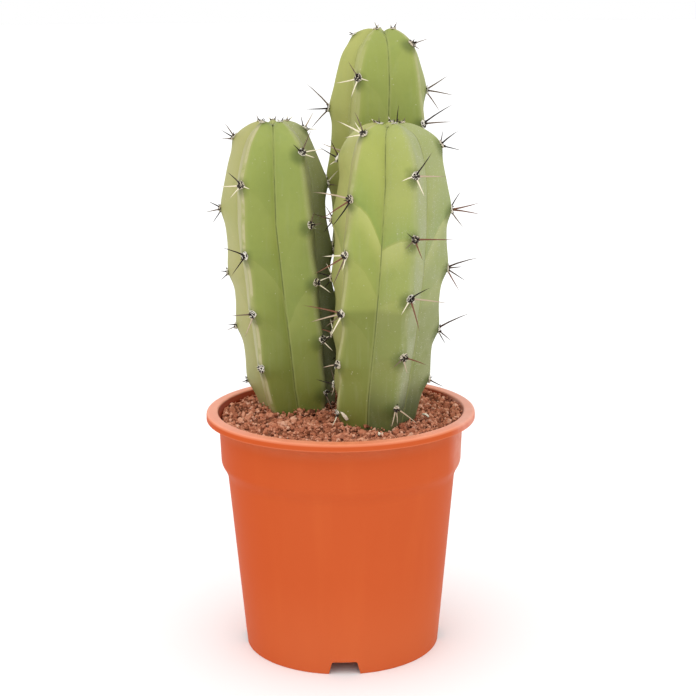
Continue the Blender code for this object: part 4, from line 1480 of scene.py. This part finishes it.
def turned(turns):  # a rotation as a table that points are multiplied by
    return np.array(Euler(turns).to_matrix())


def strewGrains(name, kind, shapes, feet, draw):
    s = soilSizes
    least, most = kind["size"]
    bunch = Bunch()
    made = 0
    while made < kind["count"]:
        radius = s["edgeReach"] * math.sqrt(draw.random())
        angle = draw.uniform(0, math.tau)
        x, y = radius * math.cos(angle), radius * math.sin(angle)
        size = least + (most - least) * draw.random() ** s["sizeBias"]
        apart = fromStems(feet, x, y)
        gap = s["gap"] + s["leftGap"] * max(0.0, -math.cos(angle)) ** 2
        if radius + size * s["wallRoom"] + gap > s["edgeReach"] or apart < size * s["stemRoom"]:
            continue
        heap = s["stemHeap"] * math.exp(-apart / s["stemHeapReach"])  # higher against the stems
        points, faces = draw.choice(shapes)
        middle = np.array([x, y, grainLevel(x, y) + heap + size * draw.uniform(*kind["sink"])])
        squash = np.array([draw.uniform(*s["squash"]) for _ in range(3)])
        tone = float(np.clip(draw.gauss(*s["tone"]), *s["toneRange"]))
        if draw.random() < s["paleShare"]:
            tone = s["paleTone"]
        turn = turned([draw.uniform(0, math.tau) for _ in range(3)])
        bunch.add((points * squash) @ turn * size + middle, faces, grainTone=tone)
        made += 1
    return bunch.build(name, smooth=False)


def makeFlakes():  # thin chips with a raised rib along the middle
    made = Bunch()
    for flake in flakes:
        bpy.ops.mesh.primitive_cube_add(size=1.0)
        obj = bpy.context.object
        obj.scale = (flake["wide"], flake["long"], flakeSizes["thick"])
        settle(obj)
        startEdit()
        bpy.ops.mesh.subdivide(number_cuts=2)
        bpy.ops.mesh.bevel(offset=flakeSizes["bevel"], segments=1)
        endEdit()
        points, faces = takeShape(obj)
        along = points[:, 1] / flake["long"]
        points[:, 0] *= 1.0 - flakeSizes["narrowing"] * along**2
        arch = flakeSizes["arch"] * np.cos(math.pi * along)
        points[:, 2] += arch - flakeSizes["rib"] * np.abs(points[:, 0])
        turn = turned([math.radians(part) for part in flake["turn"]])
        made.add(points @ turn.T + np.array(flake["at"]), faces, grainTone=1.0)
    return made.build("soilFlakes")


gritRamp = (
    (0.0, (0.110, 0.032, 0.016)),
    (0.25, (0.330, 0.112, 0.055)),
    (0.5, (0.535, 0.192, 0.104)),
    (0.78, (0.720, 0.345, 0.215)),
    (0.92, (0.800, 0.500, 0.370)),
    (1.0, (0.840, 0.760, 0.600)),
)
bedRamp = ((0.3, (0.080, 0.026, 0.014)), (0.55, (0.300, 0.110, 0.058)), (0.75, (0.500, 0.220, 0.130)))


def soilGrit():
    finish = Finish("grittySoil", Specular_IOR_Level=0.2)
    mottle = finish.speckle(1100.0, 4.0, 0.65)
    tone = finish.ramp((finish.attribute("grainTone") + 0.30 * (mottle - 0.5)).clear(), gritRamp)
    finish.paint(Base_Color=tone, Roughness=0.82 + 0.15 * mottle)
    finish.bump(finish.speckle(1500.0, 5.0, 0.7), 0.0004, 0.9)
    return finish


def bedGrit():
    finish = Finish("soilUnderneath", Specular_IOR_Level=0.15, Roughness=0.95)
    finish.paint(Base_Color=finish.ramp(finish.speckle(420.0, 5.0, 0.7), bedRamp))
    finish.bump(finish.speckle(800.0, 5.0, 0.7), 0.0006, 1.0)
    return finish


def makeSoil():
    draw = random.Random("soil")
    hand(makeBed(), bedGrit(), "soil", "soil")
    grit = soilGrit()
    stones = [makeStone(draw) for _ in range(soilSizes["stones"])]
    bpy.ops.mesh.primitive_ico_sphere_add(subdivisions=1, radius=1.0)
    crumbs = [takeShape(bpy.context.object)]
    feet = [stemFoot(stem) for stem in stems.values()]
    hand(strewGrains("soilGrains", soilSizes["grains"], crumbs, feet, draw), grit, "soil")
    hand(strewGrains("soilClods", soilSizes["clods"], stones, feet, draw), grit, "soil")
    hand(makeFlakes(), grit, "soil")


makeSoil()
